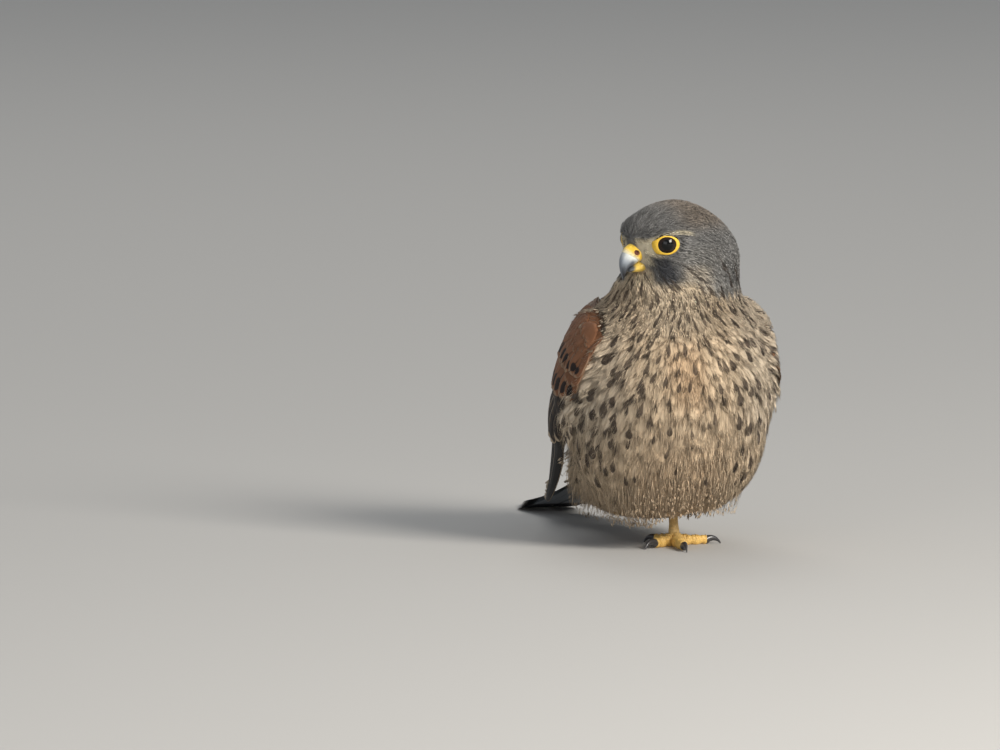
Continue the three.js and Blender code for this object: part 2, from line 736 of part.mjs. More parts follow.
const billParts = upperBill();
const headWhole = coatSlice({ low: HEAD_BASE_Z + GAP / 2, high: null, levels: 16, around: 36 });
const headWithLids = join([headWhole, lid(LEFT), lid(RIGHT)]);
const eyeRoom = [eyeball(LEFT, GAP), eyeball(RIGHT, GAP)];
const headCut = join([...eyeRoom, billHalf(UPPER_HALF, BILL_ROOM), billHalf(LOWER_HALF, BILL_ROOM)]);
add("head", largest(headWithLids.subtract(headCut)), "grey_coat");
add("eye_left", eyeball(LEFT), "eye");
add("eye_right", eyeball(RIGHT), "eye");
add("bill_upper", billParts.horn, "horn");
add("cere", billParts.cere, "yellow_skin");
add("bill_lower", billHalf(LOWER_HALF), "horn");

add("wing_right", wing(RIGHT, coatAllowance), "chestnut_coat");
add("wing_left", wing(LEFT, coatAllowance), "chestnut_coat");
add("tail", tail(torsoAllowance), "tail_grey");

const tarsusPath = [0, 0.5, 1].map((share) => vec(BALL).lerp(vec(TARSUS_TOP), share));
const tarsus = sweep(tarsusPath, () => [TARSUS_HALF, TARSUS_HALF], 12);
const ballSolid = ellipsoid(vec(BALL), BALL_SIZE, frameOf(0, 0), 12, 8);
const standingFoot = join([tarsus, ballSolid, ...Object.values(TOES).map(toeSolid)]);
add("foot_left", largest(aboveFloor(standingFoot.subtract(torsoAllowance))), "yellow_skin");
for (const [name, toe] of Object.entries(TOES)) {
  const toeRoom = sweep(toePath(toe), () => [toe.half * TOE_ROOM[0], toe.half * TOE_ROOM[1]], TOE_SIDES);
  const claw = clawSolid(toe).subtract(toeRoom);
  add(`claw_left_${name}`, largest(aboveFloor(claw)), "claw");
}
add("foot_right", largest(foot.subtract(coatSlice({ ...torsoGrid, out: GAP }).subtract(footRoom))), "yellow_skin");

// The origin is under the middle of the whole bird's box, on the floor.
const box = new THREE.Box3().setFromObject(bird);
const middle = box.getCenter(new THREE.Vector3());
bird.position.set(-middle.x, -middle.y, -box.min.z);

export default bird;
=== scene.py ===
"""A common kestrel, life size, resting on its left foot with its coat fluffed out.

The bird faces -Y, its left side is +X and up is +Z. Shapes are worked out in millimetres on the bird's own
axes, whose upright stands at x = 0, y = 0, and Place puts them into the frame in metres. The coat is one
smooth field, near zero at the feathers' tips; the skin, every feather's root and its lie are read from it.
"""
import logging
import math
from dataclasses import dataclass, field
from enum import Enum
from typing import Callable, Optional, Sequence

import bpy
import numpy as np
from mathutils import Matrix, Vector


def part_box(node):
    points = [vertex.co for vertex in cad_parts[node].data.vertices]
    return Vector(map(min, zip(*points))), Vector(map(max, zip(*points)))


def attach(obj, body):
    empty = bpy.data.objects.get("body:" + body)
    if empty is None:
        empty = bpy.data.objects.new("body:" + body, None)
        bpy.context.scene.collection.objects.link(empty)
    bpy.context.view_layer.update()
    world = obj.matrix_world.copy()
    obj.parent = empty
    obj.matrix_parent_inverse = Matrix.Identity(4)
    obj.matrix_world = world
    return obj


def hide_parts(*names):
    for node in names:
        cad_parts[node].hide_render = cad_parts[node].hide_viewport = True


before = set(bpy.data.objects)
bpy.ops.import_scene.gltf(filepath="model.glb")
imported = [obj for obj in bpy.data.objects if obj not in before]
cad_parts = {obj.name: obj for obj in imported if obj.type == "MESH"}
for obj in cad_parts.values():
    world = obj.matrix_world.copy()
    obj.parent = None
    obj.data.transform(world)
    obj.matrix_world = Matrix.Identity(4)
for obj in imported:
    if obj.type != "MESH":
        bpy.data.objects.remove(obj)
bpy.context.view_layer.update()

LOG = logging.getLogger("kestrel")
BODY = "root"
MM = 0.001
GOLDEN = (math.sqrt(5.0) - 1.0) / 2.0
PIECE_LIMIT = 190_000
BAKE_MAP = "OFBake"
TUFT_PATCH = 0.003
SEED = 20
FLOOR_CLEARANCE = 0.4
CLAW_CLEARANCE = 0.05
TAIL_CLEARANCE = 0.02

Array = np.ndarray
Rng = np.random.Generator
Number = float | Array
Mesh = tuple[Array, Array]
Material = bpy.types.Material
Piece = bpy.types.Object
Pair = tuple[float, float]
Triple = tuple[float, float, float]
Colour = tuple[float, float, float]
UP = np.array([0.0, 0.0, 1.0])


class Side(Enum):
    """The two sides of the bird, with the sign of x on each."""

    LEFT = 1.0
    RIGHT = -1.0


def unit(v: Array) -> Array:
    """Vectors along the last axis, each divided by its own length."""
    return v / np.maximum(np.linalg.norm(v, axis=-1, keepdims=True), 1e-9)


def dot(a: Array, b: Array) -> Array:
    """Scalar products along the last axis."""
    return np.sum(a * b, axis=-1)


def lerp(a: Number, b: Number, t: Number) -> Number:
    """The blend a + (b - a) t."""
    return a + (b - a) * t


def full_turn(count: int) -> Array:
    """Angles once round, evenly spaced, from 0."""
    return np.linspace(0.0, 2 * math.pi, count, endpoint=False)


def smooth(low: float, high: float, x: Array) -> Array:
    """The smooth step 3 t^2 - 2 t^3 of t, x's share of the way from low to high, held between 0 and 1."""
    t = np.clip((x - low) / (high - low), 0.0, 1.0)
    return t * t * (3.0 - 2.0 * t)


def tint(base: Array, colour: Colour, share: Array) -> Array:
    """Colours blended towards one colour by a share for each.

    Args:
        base: colours, one a row.
        colour: the colour to blend in.
        share: how much of it, 0 to 1, one a row.

    Returns:
        The blended colours.
    """
    return lerp(base, np.array(colour), np.clip(share, 0.0, 1.0)[..., None])


def painted(ground: Colour, shape: Sequence[int], *layers: tuple[Colour, Array]) -> Array:
    """One colour laid over many points, and others blended in over it, in order.

    Args:
        ground: the colour laid first.
        shape: the shape of the colours wanted, with three numbers along the last axis.
        layers: pairs of a colour and its shares, 0 to 1.

    Returns:
        The colours.
    """
    colour = np.broadcast_to(np.array(ground), shape).copy()
    for layer, share in layers:
        colour = tint(colour, layer, share)
    return colour


def curve_through(places: Sequence[Sequence[float]]) -> Callable[[Array], Array]:
    """A smooth curve through a few places: the centripetal Catmull-Rom spline, each span a cubic.

    Args:
        places: points that the curve passes, in order.

    Returns:
        A function from shares, 0 at the first place and 1 at the last, to points.
    """
    p = np.array(places, float)
    p = np.vstack([2 * p[0] - p[1], p, 2 * p[-1] - p[-2]])
    step = np.maximum(np.linalg.norm(np.diff(p, axis=0), axis=1) ** 0.5, 1e-4)

    def at(share: Array) -> Array:
        """Points on the curve at the given shares.

        Args:
            share: shares along, 0 to 1.

        Returns:
            The points.
        """
        s = np.clip(np.asarray(share, float), 0.0, 1.0) * (len(p) - 3)
        i = np.minimum(s.astype(int), len(p) - 4)
        t = (s - i)[..., None]
        a, b, c, d = p[i], p[i + 1], p[i + 2], p[i + 3]
        before, here, after = (step[i + k][..., None] for k in range(3))
        leave = ((b - a) / before - (c - a) / (before + here) + (c - b) / here) * here
        arrive = ((c - b) / here - (d - b) / (here + after) + (d - c) / after) * here
        bend = -3 * b + 3 * c - 2 * leave - arrive
        return b + leave * t + bend * t**2 + (2 * b - 2 * c + leave + arrive) * t**3

    return at


@dataclass(frozen=True)
class Axes:
    """Forward, left and up of a body part, yawed to the bird's right and pitched front up, in degrees."""

    yaw: float = 0.0
    pitch: float = 0.0

    def rows(self) -> Array:
        """Forward, left and up as the rows of a matrix.

        Returns:
            Three unit directions, one a row.
        """
        y = math.radians(self.yaw)
        q = math.radians(self.pitch)
        forward = np.array([-math.sin(y) * math.cos(q), -math.cos(y) * math.cos(q), math.sin(q)])
        left = np.array([math.cos(y), -math.sin(y), 0.0])
        return np.stack([forward, left, np.cross(forward, left)])


@dataclass(frozen=True)
class HeadFrame:
    """The head's own frame, turned to the bird's right."""

    centre: Triple = (-2.4, -16.0, 152.0)
    yaw: float = 74.0

    def rows(self) -> Array:
        """Forward, left and up of the head as the rows of a matrix."""
        return Axes(self.yaw).rows()

    def point(self, local: Array) -> Array:
        """Points given forward, left and up of the head's centre, on the bird's axes."""
        return np.array(self.centre) + np.asarray(local, float) @ self.rows()

    def local(self, p: Array) -> Array:
        """Points on the bird's axes, given forward, left and up of the head's centre."""
        return (p - np.array(self.centre)) @ self.rows().T


HEAD = HeadFrame()


@dataclass(frozen=True)
class Eye:
    """An eyeball's centre in the head's frame for the left side, its radius and where it looks."""

    at: Triple = (14.9, 14.1, 3.5)
    radius: float = 6.3
    aim_yaw: float = 58.0
    aim_pitch: float = -6.0

    def centre(self, side: Side) -> Array:
        """The eyeball's centre on the bird's axes."""
        return HEAD.point((self.at[0], side.value * self.at[1], self.at[2]))

    def axis(self, side: Side) -> Array:
        """The way the eye looks, on the bird's axes.

        Args:
            side: the side of the bird.

        Returns:
            The directions or points.
        """
        y = math.radians(self.aim_yaw)
        q = math.radians(self.aim_pitch)
        local = (math.cos(y) * math.cos(q), side.value * math.sin(y) * math.cos(q), math.sin(q))
        return np.array(local) @ HEAD.rows()


EYE = Eye()


class Place:
    """Puts millimetres on the bird's axes into the frame's metres, by the left eye's solid."""

    def __init__(self) -> None:
        """Reads where the left eye's solid is in the frame."""
        low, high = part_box("eye_left")
        self.shift = (np.array(low) + np.array(high)) / 2 - EYE.centre(Side.LEFT) * MM

    def metres(self, p: Array) -> Array:
        """Points in millimetres on the bird's axes, as metres in the frame."""
        return np.asarray(p) * MM + self.shift


PLACE = Place()


@dataclass(frozen=True)
class Form:
    """One ellipsoid of the coat: its centre, its half lengths forward, sideways and up, and its pitch."""

    at: Triple
    size: Triple
    pitch: float = 0.0


TORSO_FORMS = {
    "trunk": Form((0, 1, 77), (56, 53.5, 52)),
    "shoulders": Form((3.5, 2, 102), (46, 46, 30)),
    "back": Form((0, 28, 76), (46, 41, 32), 38),
    "rump": Form((0, 52, 58), (32, 25, 16), 32),
    "belly": Form((0, -2, 48), (45, 46, 34)),
    "vent": Form((0, 32, 36.5), (33, 39, 27), 6),
    "neck": Form((2, -9, 128), (30, 31, 22)),
}
HEAD_FORMS = {
    "cranium": Form((1, 0, 2), (26, 22.5, 21)),
    "nape": Form((-13, 0, -8), (22, 23, 24)),
    "face": Form((10, 0, -2), (12.5, 15, 13.5)),
    "forehead": Form((13, 0, 5), (14, 9.5, 8)),
    "brow_left": Form((11, 10, 8.5), (13, 9, 6.5)),
    "brow_right": Form((11, -10, 8.5), (13, 9, 6.5)),
    "cheek_left": Form((6, 11, -11), (14, 10, 10)),
    "cheek_right": Form((6, -11, -11), (14, 10, 10)),
    "throat": Form((10, 0, -16), (12, 12, 9)),
}


def smooth_min(a: Array, b: Array, k: float) -> Array:
    """The lesser of two fields, rounded within k: min(a, b) - h^3 k / 6 with h = 1 - |a - b| / k."""
    h = np.maximum(k - np.abs(a - b), 0.0) / k
    return np.minimum(a, b) - h**3 * k / 6.0


@dataclass
class CoatField:
    """The fluffed coat, a smooth blend of ellipsoids: nearly a distance, negative inside, in millimetres."""

    torso_blend: float = 14.0
    head_blend: float = 7.0
    normal_step: float = 0.5
    reach: float = 110.0
    halvings: int = 20
    end_halvings: int = 30
    forms: list[tuple[Array, Array, Array]] = field(default_factory=list)

    def __post_init__(self) -> None:
        """Turns the named forms into centres, axes and sizes, the torso's first."""
        for form in TORSO_FORMS.values():
            axes = Axes(0.0, form.pitch).rows()
            self.forms.append((np.array(form.at, float), axes, np.array(form.size)))
        for form in HEAD_FORMS.values():
            self.forms.append((HEAD.point(form.at), HEAD.rows(), np.array(form.size)))

    def distance(self, p: Array) -> Array:
        """The blend's value at points.

        Each form gives k0 (k0 - 1) / k1, where k0 is the length of the point over the form's sizes and k1 the
        length over their squares.

        Args:
            p: points on the bird's axes, along the last axis.

        Returns:
            One value a point, negative inside the coat.
        """
        parts = []
        for centre, axes, size in self.forms:
            q = (p - centre) @ axes.T
            k0 = np.linalg.norm(q / size, axis=-1)
            k1 = np.linalg.norm(q / size**2, axis=-1) + 1e-9
            parts.append(k0 * (k0 - 1.0) / k1)
        torso = parts[0]
        for part in parts[1 : len(TORSO_FORMS)]:
            torso = smooth_min(torso, part, self.torso_blend)
        head = parts[len(TORSO_FORMS)]
        for part in parts[len(TORSO_FORMS) + 1 :]:
            head = smooth_min(head, part, self.head_blend)
        return smooth_min(torso, head, self.head_blend)

    def normal(self, p: Array) -> Array:
        """The coat's outward direction at points, from the field's central differences."""
        steps = np.eye(3) * self.normal_step
        return unit(np.stack([self.distance(p + s) - self.distance(p - s) for s in steps], axis=-1))

    def lift(self, p: Array, height: float, passes: int = 3) -> Array:
        """Points moved straight out until they lie at least this high over the coat.

        Args:
            p: points on the bird's axes.
            height: the height over the coat.
            passes: how many times to move them.

        Returns:
            The moved points.
        """
        for _ in range(passes):
            short = np.maximum(height - self.distance(p), 0.0)
            p = p + self.normal(p) * short[..., None]
        return p

    def settle(self, p: Array, height: Array, passes: int = 2) -> Array:
        """Points moved straight in or out to this height over the coat.

        Args:
            p: points on the bird's axes.
            height: the height over the coat.
            passes: how many times to move them.

        Returns:
            The moved points.
        """
        for _ in range(passes):
            p = p + self.normal(p) * (height - self.distance(p))[..., None]
        return p

    def axis(self, z: Array) -> Array:
        """The upright line inside the coat that each level is measured from.

        Args:
            z: heights over the floor.

        Returns:
            The directions or points.
        """
        low = np.clip((z - 100.0) / 30.0, 0.0, 1.0)
        high = np.clip((z - 130.0) / 20.0, 0.0, 1.0)
        return np.stack([-2.0 * high, 4.0 - 13.0 * low - 6.0 * high, z], axis=-1)

    def shell(self, z: Array, angle: Array, height: Array) -> Array:
        """Points on the level surface of the field, found by halving along a level ray from the upright line.

        Args:
            z: heights over the floor.
            angle: directions round the upright line, 0 to the front and growing to the bird's left.
            height: the field's value wanted, negative inside the coat.

        Returns:
            The points.
        """
        start = self.axis(z)
        ray = np.stack([np.sin(angle), -np.cos(angle), np.zeros_like(angle)], axis=-1)
        inside = np.zeros(z.shape)
        outside = np.full(z.shape, self.reach)
        for _ in range(self.halvings):
            middle = (inside + outside) / 2
            within = self.distance(start + middle[..., None] * ray) < height
            inside = np.where(within, middle, inside)
            outside = np.where(within, outside, middle)
        return start + inside[..., None] * ray

    def end(self, inside: float, outside: float, height: float) -> float:
        """The level at which the field's surface ends on the upright line, searched from inside outwards.

        Args:
            inside: a level inside the surface.
            outside: a level beyond it.
            height: the height over the coat.

        Returns:
            The level.
        """
        for _ in range(self.end_halvings):
            middle = (inside + outside) / 2
            if self.distance(self.axis(np.array([middle])))[0] < height:
                inside = middle
            else:
                outside = middle
        return inside


COAT = CoatField()


@dataclass
class Skin:
    """The skin under the coat: the field's surface sunk by the coat's depth, and its own unwrap."""

    body_depth: float = 6.0
    neck_depth: float = 4.5
    crown_depth: float = 2.0
    face_depth: float = 1.1
    levels: int = 220
    around: int = 240
    scatter_levels: int = 160
    scatter_cells: int = 96
    margin: float = 0.005
    low: float = 0.0
    high: float = 0.0

    def __post_init__(self) -> None:
        """Finds the levels at which the skin ends."""
        self.low = COAT.end(60.0, -20.0, -self.body_depth) + 0.05
        self.high = COAT.end(150.0, 200.0, -self.crown_depth) - 0.05

    def depth(self, p: Array) -> Array:
        """The coat's depth near points: deep on the body, thin on the crown and thinnest on the face.

        Args:
            p: points on the bird's axes.

        Returns:
            Millimetres, one a point.
        """
        local = HEAD.local(p)
        neck = lerp(self.body_depth, self.neck_depth, smooth(105.0, 125.0, p[..., 2]))
        crown = lerp(neck, self.crown_depth, smooth(126.0, 142.0, p[..., 2]))
        face = smooth(2.0, 18.0, local[..., 0]) * smooth(-26.0, -16.0, local[..., 2])
        return lerp(crown, np.minimum(crown, self.face_depth), face)

    def at(self, z: Array, angle: Array) -> Array:
        """Points of the skin at levels and angles."""
        rough = COAT.shell(z, angle, np.full(z.shape, -self.crown_depth))
        return COAT.shell(z, angle, -self.depth(rough))

    def unwrap(self, p: Array) -> Array:
        """The skin's own unwrap: the angle round the upright line across, and the level up, both 0 to 1.

        Args:
            p: points on the bird's axes.

        Returns:
            Pairs from 0 to 1.
        """
        out = p - COAT.axis(p[..., 2])
        angle = np.arctan2(out[..., 0], -out[..., 1]) / (2 * math.pi)
        level = (p[..., 2] - self.low) / (self.high - self.low)
        room = 1.0 - 2 * self.margin
        return self.margin + room * np.stack([angle % 1.0, np.clip(level, 0.0, 1.0)], axis=-1)

    def ring_levels(self, count: int) -> Array:
        """Levels from the lowest to the highest, close together at both ends: (1 - cos) / 2."""
        t = np.linspace(0.0, math.pi, count)
        return self.low + (self.high - self.low) * (1.0 - np.cos(t)) / 2

    def scatter(self, count: int, low: float, high: float, jitter: float, rng: Rng) -> Array:
        """Even, quasi-regular places on the skin: a golden-angle spiral by area, shaken a little.

        Args:
            count: how many places.
            low: the lowest level used.
            high: the highest level used.
            jitter: the shake, as a share of the spacing.
            rng: the source of the shake.

        Returns:
            Points on the skin.
        """
        levels = self.ring_levels(self.scatter_levels)
        levels = levels[(levels >= low) & (levels <= high)]
        angles = np.linspace(0.0, 2 * math.pi, self.scatter_cells + 1)
        grid = self.at(*np.meshgrid(levels, angles, indexing="ij"))
        across = np.diff(grid, axis=1)[:-1]
        up = np.diff(grid, axis=0)[:, :-1]
        area = np.linalg.norm(np.cross(across, up), axis=-1)
        rings = np.concatenate([[0.0], np.cumsum(area.sum(axis=1))])
        spacing = math.sqrt(rings[-1] / count)
        i = np.arange(count)
        s = (i + 0.5) / count * rings[-1]
        z = np.interp(s, rings, levels)
        row = np.clip(np.searchsorted(rings, s) - 1, 0, len(area) - 1)
        turn = np.cumsum(area, axis=1) / area.sum(axis=1, keepdims=True)
        turn = np.hstack([np.zeros((len(turn), 1)), turn])[row]
        want = (i * GOLDEN) % 1.0
        cell = np.clip((turn < want[:, None]).sum(axis=1) - 1, 0, self.scatter_cells - 1)
        before = turn[i, cell]
        share = (want - before) / np.maximum(turn[i, cell + 1] - before, 1e-9)
        angle = (cell + share) / self.scatter_cells * 2 * math.pi
        p = self.at(z, angle)
        n = COAT.normal(p)
        shake = rng.normal(size=(count, 3)) * spacing * jitter
        p = p + shake - n * dot(shake, n)[:, None]
        return COAT.settle(p, -self.depth(p))


SKIN = Skin()


class Lie:
    """Which way the feathers lie: down and back over the body, parting on the breast; back over the head."""

    parting_x = -8.0

    def body(self, p: Array) -> Array:
        """The body's pull on feathers: down, spreading from the parting above and swept back at the sides.

        Args:
            p: points on the bird's axes.

        Returns:
            Directions, not of unit length.
        """
        x, y, z = p[..., 0], p[..., 1], p[..., 2]
        fan = np.clip((x - self.parting_x * smooth(40.0, 80.0, z)) / 42.0, -1.2, 1.2)
        front = smooth(12.0, -18.0, y)
        spread = fan * (0.22 + 0.75 * smooth(62.0, 122.0, z)) * front
        back = 0.12 + 0.5 * smooth(24.0, 52.0, np.abs(x)) * smooth(30.0, 70.0, z)
        back = back + 0.5 * smooth(0.0, 40.0, y)
        under = smooth(12.0, 40.0, y) * smooth(52.0, 28.0, z)
        down = lerp(-1.0, -0.15, under)
        return np.stack([spread, back + 0.6 * under, down], axis=-1)

    def head(self, p: Array) -> Array:
        """The head's pull on feathers: back from the bill, sinking behind the crown and low on the cheeks.

        Args:
            p: points on the bird's axes.

        Returns:
            Directions, not of unit length.
        """
        f, l, u = np.moveaxis(HEAD.local(p), -1, 0)
        sink = 0.15 + 0.9 * smooth(4.0, -22.0, f)
        sink = sink + 0.55 * smooth(2.0, -14.0, u) + 0.5 * smooth(-14.0, -22.0, u)
        out = 0.25 * np.sign(l) * smooth(3.0, 10.0, np.abs(l)) * smooth(-4.0, 12.0, f)
        rise = 0.35 * smooth(4.0, 14.0, u) * smooth(6.0, 20.0, f)
        local = np.stack([-np.ones_like(f), out, rise - sink], axis=-1)
        return local @ HEAD.rows()

    def at(self, p: Array, n: Array) -> Array:
        """The unit direction of the feathers at points, flat on the coat.

        Args:
            p: points on the bird's axes.
            n: the coat's outward directions there.

        Returns:
            Unit directions at right angles to n.
        """
        share = smooth(122.0, 136.0, p[..., 2])[..., None]
        pull = unit(self.body(p)) * (1.0 - share) + unit(self.head(p)) * share
        return unit(pull - n * dot(pull, n)[..., None])


LIE = Lie()


@dataclass(frozen=True)
class Palette:
    """The coat's colours, linear, as they are under white light, but for the chestnut, darkened a little as
    painted shade, the lores, lightened as painted light, and the hem, a painted shade.
    """

    buff: Colour = (0.58, 0.45, 0.305)
    cream: Colour = (0.72, 0.60, 0.44)
    warm: Colour = (0.56, 0.37, 0.21)
    pale_grey: Colour = (0.57, 0.49, 0.385)
    dark: Colour = (0.052, 0.034, 0.023)
    grey: Colour = (0.235, 0.230, 0.220)
    crown: Colour = (0.215, 0.165, 0.118)
    cheek: Colour = (0.30, 0.29, 0.27)
    slate: Colour = (0.048, 0.051, 0.060)
    # lores: the real pale cream, made lighter still as painted light against the feathers' shadow
    lores: Colour = (0.82, 0.72, 0.52)
    throat: Colour = (0.78, 0.63, 0.44)
    # chestnut: the back's and wing's real chestnut, made darker as a painted shade
    chestnut: Colour = (0.205, 0.092, 0.045)
    mantle: Colour = (0.21, 0.125, 0.08)
    tail: Colour = (0.20, 0.215, 0.235)
    fringe: Colour = (0.46, 0.36, 0.25)
    # hem: a dark brown that the lowest coat is blended towards, a painted shade
    hem: Colour = (0.17, 0.12, 0.075)


PAINT = Palette()


def torso_colour(p: Array) -> Array:
    """The coat's ground colour over the body and neck, without its drops.

    Args:
        p: points on the bird's axes.

    Returns:
        One colour a point.
    """
    x, y, z = np.moveaxis(p, -1, 0)
    off = np.abs(x - LIE.parting_x)
    behind = smooth(2.0, 14.0, y - 0.25 * (z - 100.0)) * smooth(84.0, 96.0, z)
    behind = np.maximum(behind, smooth(14.0, 26.0, y) * smooth(58.0, 70.0, z))
    return painted(
        PAINT.buff, p.shape,
        (PAINT.pale_grey, 0.6 * smooth(16.0, 44.0, off) * smooth(40.0, 70.0, z)),
        (PAINT.warm, 0.6 * smooth(15.0, 3.0, off) * smooth(66.0, 84.0, z) * smooth(112.0, 96.0, z)),
        (PAINT.cream, 0.5 * smooth(22.0, 8.0, off) * smooth(104.0, 118.0, z)),
        (PAINT.warm, 0.34 * smooth(62.0, 36.0, z) * smooth(34.0, 10.0, off)),
        # painted shade: the coat darkens towards the floor under the belly
        (PAINT.hem, 0.25 * smooth(18.0, 10.0, z)),
        (PAINT.mantle, behind),
        (PAINT.chestnut, 0.75 * behind * smooth(118.0, 104.0, z)),
        (PAINT.tail, smooth(34.0, 46.0, y) * smooth(38.0, 46.0, z) * smooth(78.0, 66.0, z)),
    )


def head_colour(p: Array) -> Array:
    """The head's ground colour: grey, browner on the crown, with brow, moustache, lores and throat.

    Args:
        p: points on the bird's axes.

    Returns:
        One colour a point.
    """
    f, l, u = np.moveaxis(HEAD.local(p), -1, 0)
    side = np.abs(l)
    pale = smooth(-6.0, -12.0, u) * smooth(12.0, 6.0, f) * smooth(-10.0, -2.0, f) * smooth(8.0, 12.0, side)
    throat = smooth(-7.5, -11.0, u + 0.25 * (side - 4.0)) * smooth(2.0, 10.0, f) * smooth(12.5, 8.5, side)
    throat = np.maximum(throat, smooth(-15.0, -20.0, u) * smooth(-4.0, 4.0, f))
    lores = smooth(16.5, 18.8, f) * smooth(6.4, 4.6, u) * smooth(-9.5, -6.5, u) * smooth(3.0, 5.0, side)
    brow_line = 8.9 - 0.027 * (f - 11.0) ** 2
    brow = smooth(1.5, 0.6, np.abs(u - brow_line)) * smooth(2.0, 6.0, f) * smooth(26.0, 23.0, f)
    brow = brow * smooth(3.0, 7.0, side)
    off = f - (19.6 - 5.0 * np.clip((-3.0 - u) / 13.0, 0.0, 1.0))
    stripe = smooth(4.4, 2.0, np.abs(off)) * smooth(-2.0, -5.0, u) * smooth(-20.5, -15.0, u)
    trail = 0.55 * smooth(1.0, -2.0, off) * smooth(-12.0, -3.0, off)
    trail = trail * smooth(-6.0, -9.0, u) * smooth(-17.0, -13.0, u)
    return painted(
        PAINT.grey, p.shape,
        (PAINT.crown, 0.75 * smooth(6.0, 15.0, u) * smooth(16.0, 0.0, f)),
        (PAINT.cheek, smooth(4.0, -3.0, u) * smooth(15.0, 6.0, f) * smooth(-20.0, -6.0, f)),
        (PAINT.cream, 0.5 * pale),
        (PAINT.throat, throat),
        # lores and brow: pale cream made lighter still, painted light against the shadow of the feathers
        # round them
        (PAINT.lores, 0.9 * lores),
        (PAINT.lores, 0.85 * brow),
        (PAINT.slate, 0.97 * np.maximum(stripe, trail) * smooth(7.5, 10.0, side)),
    )


def coat_colour(p: Array) -> Array:
    """The coat's ground colour anywhere: the head's above, the body's below, meeting at a ragged line.

    Args:
        p: points on the bird's axes.

    Returns:
        One colour a point.
    """
    f, l, _ = np.moveaxis(HEAD.local(p), -1, 0)
    line = 132.5 - 5.0 * smooth(6.0, -16.0, f) + 1.5 * np.sin(f * 0.9 + l * 1.3)
    share = smooth(-2.2, 2.2, p[..., 2] - line)
    return lerp(torso_colour(p), head_colour(p), share[..., None])


def outward(verts: Array, tris: Array) -> Array:
    """Triangles turned so that the closed mesh's volume is above zero."""
    a, b, c = (verts[tris[:, k]] for k in range(3))
    return tris if np.sum(dot(a, np.cross(b, c))) > 0 else tris[:, ::-1]


def make_piece(
    name: str,
    verts: Array,
    tris: Array,
    finish: Material,
    maps: Optional[dict[str, Array]] = None,
    colours: Optional[dict[str, Array]] = None,
) -> Piece:
    """A mesh object at the origin from arrays, with smooth faces.

    Args:
        name: the piece's name.
        verts: vertices in millimetres on the bird's axes.
        tris: vertex numbers, three a triangle, facing out.
        finish: its material.
        maps: UV maps by name, one pair a vertex.
        colours: colour attributes by name, three numbers a vertex.

    Returns:
        The object, linked and riding on the bird's body.
    """
    mesh = bpy.data.meshes.new(name)
    mesh.vertices.add(len(verts))
    mesh.vertices.foreach_set("co", PLACE.metres(verts).astype(np.float32).ravel())
    mesh.loops.add(tris.size)
    mesh.loops.foreach_set("vertex_index", tris.astype(np.int32).ravel())
    mesh.polygons.add(len(tris))
    mesh.polygons.foreach_set("loop_start", np.arange(0, tris.size, 3, dtype=np.int32))
    mesh.update(calc_edges=True)
    mesh.shade_smooth()
    for key, uv in (maps or {}).items():
        layer = mesh.uv_layers.new(name=key)
        layer.data.foreach_set("uv", uv[tris.ravel()].astype(np.float32).ravel())
    for key, rgb in (colours or {}).items():
        layer = mesh.attributes.new(key, "FLOAT_COLOR", "POINT")
        rgba = np.concatenate([rgb, np.ones((len(rgb), 1))], axis=1)
        layer.data.foreach_set("color", rgba.astype(np.float32).ravel())
    mesh.materials.append(finish)
    piece = bpy.data.objects.new(name, mesh)
    bpy.context.scene.collection.objects.link(piece)
    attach(piece, BODY)
    LOG.info("%s: %d triangles", name, len(tris))
    return piece


def ring_tris(rows: int, around: int, closed: bool = True) -> Array:
    """Triangles of a grid of rows of points, each row a ring where closed.

    Args:
        rows: how many rows.
        around: points in a row.
        closed: whether each row joins its own start.

    Returns:
        Vertex numbers, three a triangle.
    """
    i, j = np.meshgrid(np.arange(rows - 1), np.arange(around if closed else around - 1), indexing="ij")
    k = (j + 1) % around
    a, b, c, d = i * around + j, i * around + k, (i + 1) * around + k, (i + 1) * around + j
    return np.concatenate([np.stack([a, b, c], -1).reshape(-1, 3), np.stack([a, c, d], -1).reshape(-1, 3)])


def tube(rings: Array) -> Mesh:
    """A closed body from rings of points: the rings' grid and a fan to the middle of each end ring.

    Args:
        rings: points, shaped rings by points by 3.

    Returns:
        Vertices and triangles that face out.
    """
    rows, around = rings.shape[:2]
    verts = np.concatenate([rings.reshape(-1, 3), rings[:1].mean(axis=1), rings[-1:].mean(axis=1)])
    j = np.arange(around)
    k = (j + 1) % around
    first = np.stack([np.full(around, rows * around), k, j], -1)
    low = (rows - 1) * around
    last = np.stack([np.full(around, rows * around + 1), low + j, low + k], -1)
    tris = np.concatenate([ring_tris(rows, around), first, last])
    return verts, outward(verts, tris)


def joined(parts: Sequence[Mesh]) -> Mesh:
    """Several meshes as one, each a pair of vertices and triangles.

    Args:
        parts: the meshes.

    Returns:
        All vertices and all triangles.
    """
    starts = np.cumsum([0] + [len(verts) for verts, _ in parts])
    tris = [part[1] + start for part, start in zip(parts, starts)]
    return np.concatenate([verts for verts, _ in parts]), np.concatenate(tris)


def tubes(rings: Array) -> Mesh:
    """Many closed bodies of one build, each from its rings as tube does it.

    Args:
        rings: points, shaped bodies by rings by points by 3.

    Returns:
        Vertices shaped bodies by vertices by 3, and the triangles of one body, facing out.
    """
    bodies, rows, around = rings.shape[:3]
    ends = np.stack([rings[:, 0].mean(axis=1), rings[:, -1].mean(axis=1)], axis=1)
    verts = np.concatenate([rings.reshape(bodies, rows * around, 3), ends], axis=1)
    _, tris = tube(rings[0])
    return verts, tris


def spread_tris(bodies: int, size: int, tris: Array) -> Array:
    """One body's triangles repeated for many bodies of the same number of vertices."""
    return (tris[None] + (np.arange(bodies) * size)[:, None, None]).reshape(-1, 3)


